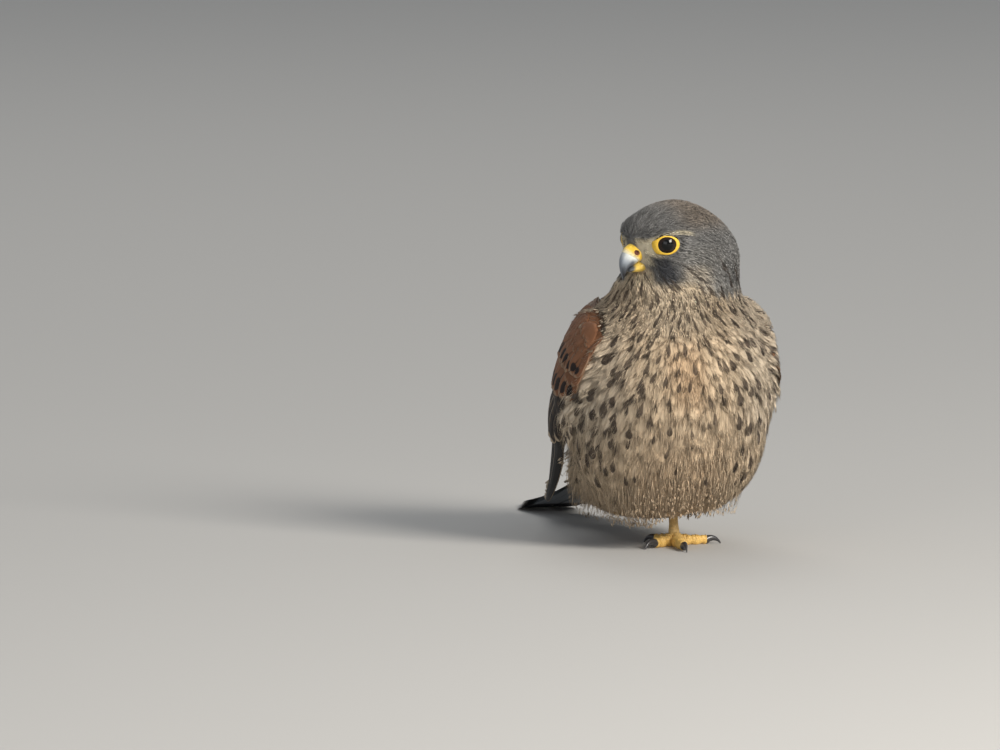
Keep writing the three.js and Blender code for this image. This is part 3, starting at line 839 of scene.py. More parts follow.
@dataclass(frozen=True)
class Loose:
    """A loose feather: a lock down its shaft and more that leave it on both sides, each a bent spike.

    Widths and the length are in millimetres. The field lock is the number of vertices in a lock; first is the
    share along at which the first side lock leaves the shaft, and sweep the share that it then covers.
    """

    locks: int
    length: float
    width: float
    lock_width: float
    lock: int = 7
    first: float = 0.28
    sweep: float = 0.30
    ridge: float = 0.30
    shaft_width: float = 0.9

    def paths(self) -> tuple[Array, Array, Array]:
        """Each lock's line as shares along and across the feather, at root, middle and tip, and its width.

        A side lock ends at first + sweep + (1.04 - first - sweep) sin(q) along and cos(q)^0.6 across, with q
        from 0 to a right angle over the locks, and bends out by sin^0.8.

        Returns:
            Shares along, shares across and widths, one lock a row.
        """
        k = np.linspace(0.0, 1.0, self.locks)
        start = self.first + (0.95 - self.first) * k
        end = self.first + self.sweep + (1.04 - self.first - self.sweep) * np.sin(math.pi / 2 * k)
        out = np.maximum(np.cos(math.pi / 2 * k), 0.02) ** 0.6
        t = np.array([0.0, 0.5, 1.0])
        along = start[:, None] + (end - start)[:, None] * t
        across = out[:, None] * np.sin(math.pi / 2 * t) ** 0.8
        shaft = np.array([[0.0, 0.55, 1.05]])
        along = np.concatenate([shaft, along, along])
        across = np.concatenate([np.zeros((1, 3)), across, -across])
        width = np.full(len(along), self.lock_width)
        width[0] = self.shaft_width
        return along, across, width

    def template(self) -> tuple[Array, Array, Array, Array, Array]:
        """One feather's vertices and triangles.

        Returns:
            Shares along and across, rise in millimetres, shares along each lock, and triangles.
            Every lock has seven vertices: two rings of three and a tip.
        """
        along, across, width = self.paths()
        a = along * self.length
        b = across * self.width / 2
        da, db = np.gradient(a, axis=1), np.gradient(b, axis=1)
        size = np.hypot(da, db)
        pa, pb = -db / size, da / size
        taper = np.array([0.75, 0.9])
        half = width[:, None] * taper / 2
        line = np.stack([a, b], -1)[:, :2]
        beside = np.stack([pa, pb], -1)[:, :2] * half[..., None]
        left = np.concatenate([line + beside, 0 * half[..., None]], -1)
        right = np.concatenate([line - beside, 0 * half[..., None]], -1)
        ridge = np.concatenate([line, 2 * half[..., None] * self.ridge], -1)
        rings = np.stack([left, ridge, right], axis=2).reshape(len(a), 6, 3)
        tips = np.stack([a[:, 2], b[:, 2], 0 * a[:, 2]], -1)[:, None]
        verts = np.concatenate([rings, tips], axis=1)
        step = np.tile([0.0, 0.0, 0.0, 0.5, 0.5, 0.5, 1.0], len(a))
        e = np.arange(3)
        g = (e + 1) % 3
        sides = [[e, g, g + 3], [e, g + 3, e + 3], [e + 3, g + 3, np.full(3, 6)]]
        one = np.concatenate([[[2, 1, 0]], *(np.stack(side, -1) for side in sides)])
        a, b, rise = verts.reshape(-1, 3).T
        return a / self.length, b / (self.width / 2), rise, step, spread_tris(len(along), self.lock, one)


@dataclass(frozen=True)
class Contour:
    """A contour feather: a thin closed vane that frays into loose barbs over its outer half.

    Barbs are counted on one side, barb_width is in millimetres on a feather of the given size, and lock is
    the number of vertices in a barb.
    """

    length: float
    width: float
    rows: int = 7
    barbs: int = 14
    barb_width: float = 0.5
    thick: float = 0.2
    ridge: float = 0.06
    vane_end: float = 0.84
    lock: int = 4

    ACROSS = np.array([-1.0, -0.55, 0.0, 0.55, 1.0, 0.0])
    FACE = np.array([0.0, 1.0, 1.0, 1.0, 0.0, -1.0])

    def outline(self, t: Array) -> Array:
        """The half width at shares along: narrow at the root, full past the middle, round at the tip."""
        tip = np.clip((t - 0.5) / 0.54, 0.0, 1.0)
        return (0.25 + 0.75 * smooth(0.0, 0.5, t)) * np.sqrt(1.0 - tip**2.2)

    def vane(self) -> Mesh:
        """The closed vane, a smaller copy of the outline: shares along and across and rise, and triangles.

        Returns:
            Vertices and triangles.
        """
        t = np.linspace(0.0, 1.0, self.rows) ** 0.85
        half = np.maximum(0.85 * self.outline(1.04 * t), 0.04)
        b = self.ACROSS * half[:, None]
        rise = self.FACE * self.thick / 2 + self.ridge * (self.ACROSS == 0.0) * (self.FACE > 0)
        return tube(np.stack([self.vane_end * t[:, None] + 0 * b, b, rise + 0 * b], -1))

    def loose(self) -> Mesh:
        """The barbs, each a three-sided spike from inside the vane to its outline: from 0.74 t to t along.

        Returns:
            Vertices and triangles.
        """
        k = np.linspace(0.0, 1.0, self.barbs)
        t = np.concatenate([lerp(0.42, 1.03, k**0.85)] * 2)
        b = self.outline(t) * np.repeat([1.0, -1.0], self.barbs)
        wide = self.barb_width / self.width
        low, high = 0 * t - 0.04, 0 * t + 0.3 * self.barb_width + self.thick / 2
        corners = [(0.7 * b - wide, low), (0.7 * b, high), (0.7 * b + wide, low)]
        spikes = [np.stack([0.74 * t, across, rise], -1) for across, rise in corners]
        spikes = np.stack([*spikes, np.stack([t, b, 0 * t], -1)], axis=1)
        one = np.array([[2, 1, 0], [0, 1, 3], [1, 2, 3], [2, 0, 3]])
        return spikes.reshape(-1, 3), spread_tris(len(t), 4, one)

    def template(self) -> tuple[Array, Array, Array, Array, Array]:
        """One feather's vertices and triangles.

        Returns:
            Shares along and across, rise in millimetres, shares along each barb, and triangles.
        """
        vane, vane_tris = self.vane()
        barbs, barb_tris = self.loose()
        verts, tris = joined([(vane, vane_tris), (barbs, barb_tris)])
        step = np.concatenate([np.zeros(len(vane)), np.tile([0.0, 0.0, 0.0, 1.0], 2 * self.barbs)])
        return verts[:, 0], verts[:, 1], verts[:, 2], step, tris


@dataclass(frozen=True)
class LidLine:
    """The outline of the lids round an eye: an opening flattened above, and a rim with a corner in front."""

    opening: float = 4.5
    flat_top: float = 0.75
    rim: float = 1.0
    corner: float = 3.5
    back: float = 0.8

    def edges(self, turn: Array) -> tuple[Array, Array]:
        """The opening's and the rim's radius at turns from the front over the top.

        Args:
            turn: angles round, in radians.

        Returns:
            The two radii.
        """
        front = np.maximum(np.cos(turn + 0.4), 0.0) ** 6
        behind = np.maximum(-np.cos(turn), 0.0) ** 4
        above = np.maximum(np.sin(turn), 0.0) ** 2
        inner = self.opening - self.flat_top * above + 0.2 * front
        return inner, inner + self.rim + self.corner * front + self.back * behind - 0.35 * above


LID_LINES = {Side.LEFT: LidLine(), Side.RIGHT: LidLine(corner=0.9)}


def eye_axes(side: Side) -> tuple[Array, Array, Array]:
    """An eye's own axes: forward round the head, up, and its line of sight.

    Args:
        side: the side of the bird.

    Returns:
        The three unit directions.
    """
    axis = EYE.axis(side)
    forward = HEAD.rows()[0]
    forward = unit(forward - axis * dot(forward, axis))
    up = np.cross(axis, forward) * side.value
    return forward, up * np.sign(up[2]), axis


def beyond_lids(p: Array, side: Side) -> Array:
    """How far points lie outside the rim of an eye's lids, seen along its line of sight; large behind it.

    Args:
        p: points on the bird's axes.
        side: the side of the bird.

    Returns:
        Millimetres, one a point.
    """
    forward, up, axis = eye_axes(side)
    d = p - EYE.centre(side)
    ahead, above = dot(d, forward), dot(d, up)
    _, rim = LID_LINES[side].edges(np.arctan2(above, ahead))
    return np.where(dot(d, axis) < 0.0, EYE.radius * 2, np.hypot(ahead, above) - rim)


def clear_of_eyes(p: Array, room: float = -0.1) -> Array:
    """Whether points lie clear of both eyes' lids."""
    return np.minimum(*(beyond_lids(p, side) for side in Side)) > room


def turned(d: Array, n: Array, turn: Array) -> Array:
    """Directions turned about outward directions."""
    return d * np.cos(turn) + np.cross(n, d) * np.sin(turn)


def over_hem(p: Array) -> Array:
    """How far points lie above the belly's hem, which is drawn up before the shank and to its left."""
    across = 0.94 * p[:, 0] - 0.34 * p[:, 1]
    return p[:, 2] - 11.5 - 6.0 * smooth(-9.0, 0.0, across) * smooth(14.0, 0.0, p[:, 1])


class Drops:
    """Dark drops over the coat, each lying along the feathers, in a frame of its own."""

    def __init__(self, count: int = 1050) -> None:
        """Scatters places, gives each its size and keeps those that are dark.

        Args:
            count: how many places are tried.
        """
        rng = np.random.default_rng(SEED + 11)
        p = COAT.settle(SKIN.scatter(count, 22.0, 141.0, 0.42, rng), 0.0)
        n = COAT.normal(p)
        size = self.sizes(p, rng)
        aim = LIE.at(p, n)
        turn = rng.normal(0.0, 0.12, (len(p), 1))
        aim = unit(aim + np.cross(n, aim) * turn)
        dark = size[:, 2] > 0.0
        self.places, self.aims, self.sides = p[dark], aim[dark], np.cross(aim, n)[dark]
        self.size = size[dark]

    @staticmethod
    def sizes(p: Array, rng: Rng) -> Array:
        """Narrow streaks on the upper breast, full drops on the flanks, specks low, blunt spots behind.

        Args:
            p: the drops' places.
            rng: the source of variation.

        Returns:
            Half length and half width in millimetres and darkness, one row a place; no darkness for none.
        """
        x, y, z = p.T
        side = np.abs(x - LIE.parting_x)
        upper = smooth(92.0, 114.0, z)
        flank = smooth(10.0, 36.0, side)
        low = smooth(66.0, 52.0, z) * smooth(38.0, 22.0, side)
        behind = smooth(10.0, 22.0, y - 0.2 * (z - 100.0)) * smooth(60.0, 72.0, z)
        width = lerp(1.45 + 1.1 * flank, 1.05 + 0.4 * flank, upper) * lerp(1.0, 0.55, low)
        length = lerp(3.9 + 0.5 * flank, 5.0, upper) * lerp(1.0, 0.6, low)
        width = lerp(width, 2.0, behind)
        length = lerp(length, 2.6, behind)
        share = lerp(lerp(0.60, 0.95, upper), 0.14, low) * smooth(20.0, 34.0, z + 0.35 * side)
        dark = (rng.uniform(size=len(p)) < share) * lerp(0.86, 0.97, np.maximum(flank, behind))
        vary = rng.uniform(0.75, 1.2, (2, len(p)))
        return np.stack([length * vary[0], width * vary[1], dark * rng.uniform(0.88, 1.0, len(p))], axis=-1)

    def on(self, p: Array, probe: Array) -> Array:
        """Where each point of each feather lies on the drop that is nearest to the feather's outer part.

        Args:
            p: the feathers' points, feathers by points by 3.
            probe: a place on each feather's outer part.

        Returns:
            Along over the half length, across over the half width, and darkness, one row a point.
        """
        near = np.argmin(np.linalg.norm(probe[:, None] - self.places[None], axis=-1), axis=1)
        off = p - self.places[near][:, None]
        along = np.einsum("nvc,nc->nv", off, self.aims[near])
        across = np.einsum("nvc,nc->nv", off, self.sides[near])
        half_length, half_width, darkness = self.size[near].T[..., None]
        darkness = np.broadcast_to(darkness, along.shape)
        return np.stack([along / half_length, across / half_width, darkness], axis=-1)


DROPS = Drops()


@dataclass
class Tract:
    """One tract of the coat: its feathers' build, how many, between which levels, and how they vary.

    Each feather rises from its root on the skin to tip_height over the coat by share^rise_power. Low on the
    belly, hang is how far it leaves the coat to fall freely. The vary fields, twist, fray and jitter are
    spreads, and fringe, shaft_shade and root_level are how strong differences of the paint are.
    """

    name: str
    slot: str
    shape: "Loose | Contour"
    count: int
    low: float
    high: float
    size: Callable[[Array], tuple[Array, Array]]
    keep: Callable[[Array], Array]
    spotted: bool = True
    hang: float = 0.0
    fall: float = 0.6
    tip_height: float = 0.2
    height_vary: float = 0.35
    rise_power: float = 0.75
    twist: float = 7.0
    fray: float = 0.10
    camber: float = 0.05
    lock_vary: float = 0.05
    feather_vary: float = 0.06
    root_level: float = 0.72
    shaft_shade: float = 0.92
    fringe: float = 0.0
    jitter: float = 0.3
    seed: int = 1

    SHARES = np.array([0.0, 0.35, 0.7, 1.05])

    def basis(self, a: Array) -> Array:
        """Weights of the four rows at shares along the feather: Lagrange's cubic through them.

        Args:
            a: shares along the feather.

        Returns:
            Four weights a share.
        """
        cols = []
        for i, s in enumerate(self.SHARES):
            others = np.delete(self.SHARES, i)
            cols.append(np.prod((a[:, None] - others) / (s - others), axis=1))
        return np.stack(cols, axis=-1)

    def run(self, roots: Array, length: Array, rng: Rng) -> tuple[Array, Array, Array]:
        """Follows the lie from each root and rises through the coat to the tip, over a wing's edge if near.

        Args:
            roots: where the feathers grow, on the skin.
            length: how long each is.
            rng: the source of variation.

        Returns:
            The shaft's points, its side directions and its up directions, each shaped feathers by 4 by 3.
        """
        n = COAT.normal(roots)
        turn = np.radians(rng.normal(0.0, self.twist, len(roots)))[:, None]
        base = COAT.distance(roots)
        top = self.tip_height + rng.normal(0.0, self.height_vary, len(roots))
        points, sides, ups = [], [], []
        p, way, loose = roots, LIE.at(roots, n), 0.0
        for i, share in enumerate(self.SHARES):
            if i:
                loose = self.hang * smooth(44.0, 30.0, p[:, 2:]) * (i > 1)
                way = unit(lerp(turned(LIE.at(p, n), n, turn), way - self.fall * UP, loose))
                free = p + way * (length * (share - self.SHARES[i - 1]))[:, None]
                over = WING_LIFT * smooth(9.0, 3.0, wing_gap(free))
                height = base + (top + over - base) * min(share, 1.0) ** self.rise_power
                p = lerp(COAT.settle(free, height), free, loose)
                n = unit(lerp(COAT.normal(p), unit(p * np.array([1.0, 1.0, 0.0])), loose))
            d = unit(lerp(turned(LIE.at(p, n), n, turn), way, loose))
            up = unit(n - d * dot(n, d)[:, None])
            points.append(p)
            sides.append(np.cross(d, up))
            ups.append(up)
        return np.stack(points, 1), np.stack(sides, 1), np.stack(ups, 1)

    def grow(self, finish: Material) -> list[Piece]:
        """Builds the tract's feathers and joins them into pieces under the limit.

        A vertex at share a along and b across lies at the shaft's cubic through four rows, plus b times the
        half width to the side, plus its rise less camber times b squared, up.

        Args:
            finish: the coat's material.

        Returns:
            The pieces.
        """
        rng = np.random.default_rng(SEED + self.seed)
        roots = SKIN.scatter(self.count, self.low, self.high, self.jitter, rng)
        roots = roots[self.keep(roots)]
        length, width = self.size(roots)
        length = length * rng.uniform(0.85, 1.15, len(roots))
        width = width * rng.uniform(0.88, 1.12, len(roots))
        points, sides, ups = self.run(roots, length, rng)
        shown = points[:, 1:].reshape(-1, 3)
        clear = (clear_of_eyes(shown) & off_wings(shown)).reshape(len(points), 3).all(axis=1)
        clear &= over_hem(points[:, 3]) > -1.5
        points, sides, ups, roots, width = (v[clear] for v in (points, sides, ups, roots, width))
        a, b, rise, step, tris = self.shape.template()
        lock = np.arange(len(a)) // self.shape.lock
        shake = rng.normal(0.0, self.fray, (2, len(roots), lock[-1] + 1))[:, :, lock] * step
        across = b + shake[0]
        half = (width / 2)[:, None]
        lift = rise * (width / self.shape.width)[:, None] + half * (0.9 * shake[1] - self.camber * across**2)
        p, side, up = (np.einsum("vr,nrc->nvc", self.basis(a), rows) for rows in (points, sides, ups))
        p = p + side * (across * half)[..., None] + up * lift[..., None]
        p[..., 2] = np.maximum(p[..., 2], FLOOR_CLEARANCE)
        bake = SKIN.unwrap(roots)[:, None] + np.stack([a - 0.5, b / 2], -1)[None] * TUFT_PATCH
        colours = {"Tint": self.paint(p, a, step, lock, rng)}
        colours["Drop"] = DROPS.on(p, points[:, 2]) if self.spotted else np.zeros_like(p)
        feather = np.stack([a, 0.5 + b / 2], -1)
        return self.pieces(p, tris, colours, np.clip(bake, 0.0, 1.0), feather, finish)

    def paint(self, p: Array, a: Array, step: Array, lock: Array, rng: Rng) -> Array:
        """A colour for every vertex: the ground colour, pale fringes, roots darkened as their real grey down
        and as painted shade where feathers overlap, and small differences between locks.

        Args:
            p: the feathers' points.
            a: shares along the feather.
            step: shares along each lock.
            lock: each point's lock.
            rng: the source of variation.

        Returns:
            Colours shaped like the points.
        """
        colour = coat_colour(p)
        level = rng.normal(1.0, self.feather_vary, (len(p), 1))
        level = level * rng.normal(1.0, self.lock_vary, (len(p), lock[-1] + 1))[:, lock]
        # Darker towards each feather's root: its real grey down, and painted shade where the feathers
        # overlap.
        level = level * lerp(self.root_level, 1.0, smooth(0.1, 0.7, a)) * lerp(1.0, 1.06, step)
        if isinstance(self.shape, Loose):
            level[:, : self.shape.lock] *= self.shaft_shade
        pale = self.fringe * np.broadcast_to(np.maximum(step**2, smooth(0.8, 1.0, a)), level.shape)
        return np.clip(tint(colour, PAINT.cream, pale) * level[..., None], 0.004, 0.9)

    def pieces(
        self,
        p: Array,
        tris: Array,
        colours: dict[str, Array],
        bake: Array,
        feather: Array,
        finish: Material,
    ) -> list[Piece]:
        """Splits the feathers into pieces under the limit and makes each an object.

        Args:
            p: points on the bird's axes.
            tris: one feather's triangles.
            colours: colour attributes by name, shaped like the points.
            bake: places on the bake map.
            feather: one feather's own map.
            finish: the material.

        Returns:
            The pieces.
        """
        tris = outward(p[0], tris)
        parts = math.ceil(len(p) / (PIECE_LIMIT // len(tris)))
        made = []
        for i, share in enumerate(np.array_split(np.arange(len(p)), parts)):
            many = spread_tris(len(share), p.shape[1], tris)
            piece = make_piece(
                f"{self.name}_{i + 1}", p[share].reshape(-1, 3), many, finish,
                {BAKE_MAP: bake[share].reshape(-1, 2), "Feather": np.tile(feather, (len(share), 1))},
                {key: value[share].reshape(-1, 3) for key, value in colours.items()},
            )
            made.append(piece)
        return made


class Outline(Enum):
    """How a vane's half width runs from its root to its tip."""

    ROUNDED = "rounded"
    POINTED = "pointed"
    SQUARE = "square"

    def half(self, t: Array) -> Array:
        """The half width at shares along the vane, 1 where it is widest.

        Args:
            t: shares along, 0 to 1.

        Returns:
            Shares of the full half width.
        """
        if self is Outline.POINTED:
            tip = 1.0 - 0.88 * np.maximum(0.0, (t - 0.35) / 0.65) ** 1.7
            return (0.3 + 0.7 * smooth(0.0, 0.3, t)) * tip
        if self is Outline.SQUARE:
            tip = np.sqrt(np.clip(1.0 - np.maximum(0.0, (t - 0.93) / 0.075) ** 2, 0.0, 1.0))
            return (0.6 + 0.4 * t) * tip
        tip = np.sqrt(np.clip(1.0 - np.maximum(0.0, (t - 0.68) / 0.33) ** 2, 0, 1))
        return (0.35 + 0.65 * smooth(0.0, 0.4, t)) * tip


@dataclass(frozen=True)
class Marks:
    """What is painted on a vane: its ground colour and how strong its spot, pale edge and dark bars are."""

    ground: Colour
    spot: float = 0.0
    fringe: float = 0.0
    bars: float = 0.0


@dataclass(frozen=True)
class Tier:
    """A row of vanes over a folded wing.

    Roots and tips are shares along and across the wing, at the row's lower and upper end; lifts are over the
    wing's sheet, at root and tip.
    """

    name: str
    count: int
    root_low: Pair
    root_high: Pair
    tip_low: Pair
    tip_high: Pair
    width: float
    lift: float
    tip_lift: float
    outline: Outline
    marks: Marks
    roll: float = -0.09
    camber: float = 0.12
    thick: float = 0.35
    rows: int = 18
    wander: float = 0.012
    bend: float = 1.0


@dataclass
class Vanes:
    """Firm feathers, each a thin closed blade of a few columns across and rows along."""

    columns: int = 9

    def ring(self) -> tuple[Array, Array]:
        """Shares across and which face, once round a blade's section: over the top and back underneath.

        Returns:
            Shares across, and 1 for over, -1 for under and 0 for an edge.
        """
        b = np.linspace(-1.0, 1.0, self.columns)
        across = np.concatenate([b, b[-2:0:-1]])
        face = np.concatenate([np.ones(self.columns), -np.ones(self.columns - 2)])
        face[[0, self.columns - 1]] = 0.0
        return across, face

    def blades(
        self,
        centre: Array,
        up: Array,
        half: Array,
        roll: float,
        camber: float,
        thick: float,
    ) -> Array:
        """Rings of each blade's section along its shaft.

        At share b across, a point lies b times the half width to the side and rises by b tan(roll) less
        camber b^2, with half the thickness, thinner at the edges, over or under it.

        Args:
            centre: shaft points, vanes by rows by 3.
            up: the way each faces, shaped alike.
            half: half widths, vanes by rows.
            roll: how far each leans over the next, in radians.
            camber: how far the edges droop, as a share of the half width.
            thick: thickness at the shaft.

        Returns:
            Points shaped vanes by rows by ring by 3.
        """
        along = unit(np.gradient(centre, axis=1))
        side = unit(np.cross(along, up))
        over = np.cross(side, along)
        b, face = self.ring()
        rise = half[..., None] * (b * math.tan(roll) - camber * b**2)
        rise = rise + face * thick / 2 * (1.0 - 0.75 * b**2) + (face > 0) * (b == 0) * thick * 0.5
        beside = side[:, :, None] * (half[..., None] * b)[..., None]
        return centre[:, :, None] + beside + over[:, :, None] * rise[..., None]

    def maps(self, vanes: int, rows: int, cell: int, cells: int) -> tuple[Array, Array]:
        """The feather map, along and across each blade, and the bake map, a cell of its own for each blade.

        Args:
            vanes: how many blades.
            rows: rows of points along each.
            cell: the first cell that is free.
            cells: cells along a side of the map.

        Returns:
            The two maps, one pair a vertex.
        """
        b, face = self.ring()
        grid = np.meshgrid(np.linspace(0.0, 1.0, rows), 0.5 + 0.5 * b, indexing="ij")
        flat = np.concatenate([np.stack(grid, -1).reshape(-1, 2), [[0.0, 0.5], [1.0, 0.5]]])
        under = np.tile(np.where(face < 0, 1.0, 0.0), rows)
        under = np.concatenate([under, [0.0, 0.0]])
        local = np.stack([0.04 + 0.92 * flat[:, 0], 0.03 + 0.44 * flat[:, 1] + 0.5 * under], -1)
        i = cell + np.arange(vanes)
        corner = np.stack([i % cells, i // cells], -1)
        bake = (corner[:, None] + local[None]) / cells
        return np.tile(flat, (vanes, 1)), bake.reshape(-1, 2)


VANES = Vanes()


@dataclass
class WingShape:
    """A folded wing as a curved sheet between its lower and upper edge, both given for the left side."""

    side: Side = Side.LEFT
    lower: Sequence[Triple] = (
        (44, -20, 109), (53, -14, 84), (50, 14, 56), (40, 46, 37), (27, 100, 13), (8, 165, 12),
    )
    upper: Sequence[Triple] = (
        (34, -4, 112), (28, 20, 106), (20, 50, 91), (9, 76, 70), (5, 112, 42), (3, 166, 16),
    )
    step: float = 0.02
    bulge: float = 13.0
    swell_aim: Triple = (0.9, 0.35, 0.3)
    rest: float = 1.1

    def __post_init__(self) -> None:
        """Runs a smooth curve along each edge."""
        self.low_edge = curve_through(self.lower)
        self.high_edge = curve_through(self.upper)

    def sheet(self, along: Array, across: Array) -> Array:
        """Points of the sheet, 0 at the shoulder and the lower edge and 1 at the tip and the upper edge.

        The edges' points are blended across, swelled outwards by the bulge times 4 c (1 - c) and the square
        of 4 s (1 - s), and lifted clear of the coat.

        Args:
            along: shares along the wing.
            across: shares across the wing.

        Returns:
            The points.
        """
        s = np.clip(along, 0.0, 1.0)
        p = lerp(self.low_edge(s), self.high_edge(s), across[..., None])
        swell = self.bulge * 4.0 * across * (1.0 - across) * 16.0 * (s * (1.0 - s)) ** 2
        p = (p + unit(np.array(self.swell_aim)) * swell[..., None]) * np.array([self.side.value, 1.0, 1.0])
        return COAT.lift(p, self.rest)

    def normal(self, along: Array, across: Array) -> Array:
        """The sheet's outward direction, from points a short step away.

        Args:
            along: shares along the wing.
            across: shares across the wing.

        Returns:
            Unit directions.
        """
        step = self.step
        a = self.sheet(along - step, across)
        b = self.sheet(np.minimum(along, 1.0 - step) + step, across)
        c = self.sheet(along, across - step)
        d = self.sheet(along, across + step)
        n = unit(np.cross(b - a, d - c))
        flip = dot(n, np.array([self.side.value, 0.3, 0.8])) < 0
        return np.where(flip[..., None], -n, n)

    def gap(self, p: Array, inner: float = 0.0, start: float = 0.05, end: float = 0.6) -> Array:
        """How far points lie from the sheet, beyond a share across and between two shares along it.

        Args:
            p: points on the bird's axes.
            inner: the least share across that counts.
            start: the least share along that counts.
            end: the greatest share along that counts.

        Returns:
            Millimetres, one a point.
        """
        a, c = np.meshgrid(np.linspace(start, end, 24), np.linspace(inner, 0.9, 14), indexing="ij")
        grid = self.sheet(a, c).reshape(-1, 3)
        return np.linalg.norm(p[:, None] - grid[None], axis=-1).min(axis=1)


WINGS = {side: WingShape(side) for side in Side}
WING_LIFT = 4.4
WING_ROOM = 4.5


def wing_gap(p: Array, inner: float = 0.0) -> Array:
    """How far points lie from the nearer wing's sheet."""
    return np.minimum(*(wing.gap(p, inner) for wing in WINGS.values()))


def off_wings(p: Array) -> Array:
    """Whether points keep off the wings.

    The right wing lies bare but for its lower edge, and its flight feathers lie bare in full. On the left
    wing only the upper edge is kept clear here, behind the shoulder.

    Args:
        p: points on the bird's axes.

    Returns:
        True for each point that is clear.
    """
    left, right = WINGS[Side.LEFT], WINGS[Side.RIGHT]
    bare = np.minimum(right.gap(p, 0.16, 0.04), right.gap(p, 0.0, 0.6, 0.98))
    return (bare > WING_ROOM) & (left.gap(p, 0.9, 0.15) > WING_ROOM)


COVERT = Marks(PAINT.chestnut, spot=1.0, fringe=0.45)
LESSER = Marks(PAINT.chestnut, spot=0.2, fringe=0.3)
SCAPULAR = Marks(PAINT.mantle, spot=0.4, fringe=0.9)
# The flight feathers' ground is their real blackish brown, made darker still as painted shade.
FLIGHT = Marks((0.009, 0.007, 0.006), fringe=1.0)
SECONDARY = Marks((0.017, 0.011, 0.008), fringe=1.0, bars=0.25)


def lesser_rows() -> list[Tier]:
    """The small coverts at the wing's front, in five rows that grow larger backwards.

    Returns:
        The rows from the shoulder backwards.
    """
    rows = []
    for i in range(5):
        root = 0.004 + 0.026 * i
        tip = root + 0.075 + 0.008 * i
        rows.append(Tier(
            f"lesser_{i + 1}", 10 + i, (root, 0.06), (root, 1.0), (tip, 0.02), (tip + 0.03, 1.02),
            8.5 + 0.7 * i, min(0.3, 1.3 * i - 2.4), 1.5 + 0.2 * i, Outline.ROUNDED, LESSER, rows=10,
        ))
    return rows


TIERS = [
    Tier(
        "primaries", 9, (0.36, 0.08), (0.40, 0.70), (0.88, 0.04), (0.99, 0.60), 9.0, -0.2, -0.5,
        Outline.POINTED, FLIGHT, roll=-0.14, rows=30,
    ),
    Tier(
        "primary_coverts", 6, (0.25, 0.05), (0.30, 0.36), (0.44, 0.02), (0.52, 0.30), 8.0, 0.2, 0.9,
        Outline.POINTED, FLIGHT,
    ),
    Tier(
        "secondaries", 12, (0.22, 0.10), (0.28, 0.90), (0.45, 0.05), (0.74, 0.90), 11.0, 0.6, 1.8,
        Outline.ROUNDED, SECONDARY, rows=24, bend=0.65,
    ),
    Tier(
        "greater_coverts", 10, (0.11, 0.06), (0.18, 0.92), (0.26, 0.03), (0.46, 0.94), 12.0, 0.9, 2.4,
        Outline.ROUNDED, COVERT,
    ),
    Tier(
        "median_coverts", 9, (0.06, 0.06), (0.10, 0.94), (0.18, 0.03), (0.32, 0.96), 12.0, 0.8, 2.5,
        Outline.ROUNDED, COVERT, rows=16,
    ),
    *lesser_rows(),
    Tier(
        "scapulars", 7, (0.05, 0.80), (0.03, 1.10), (0.27, 0.84), (0.36, 1.20), 13.0, -0.8, 2.6,
        Outline.ROUNDED, SCAPULAR, rows=16,
    ),
    Tier(
        "small_scapulars", 8, (0.0, 0.66), (0.0, 1.15), (0.12, 0.72), (0.16, 1.24), 8.0, -4.2, 1.4,
        Outline.ROUNDED, SCAPULAR, rows=12,
    ),
]


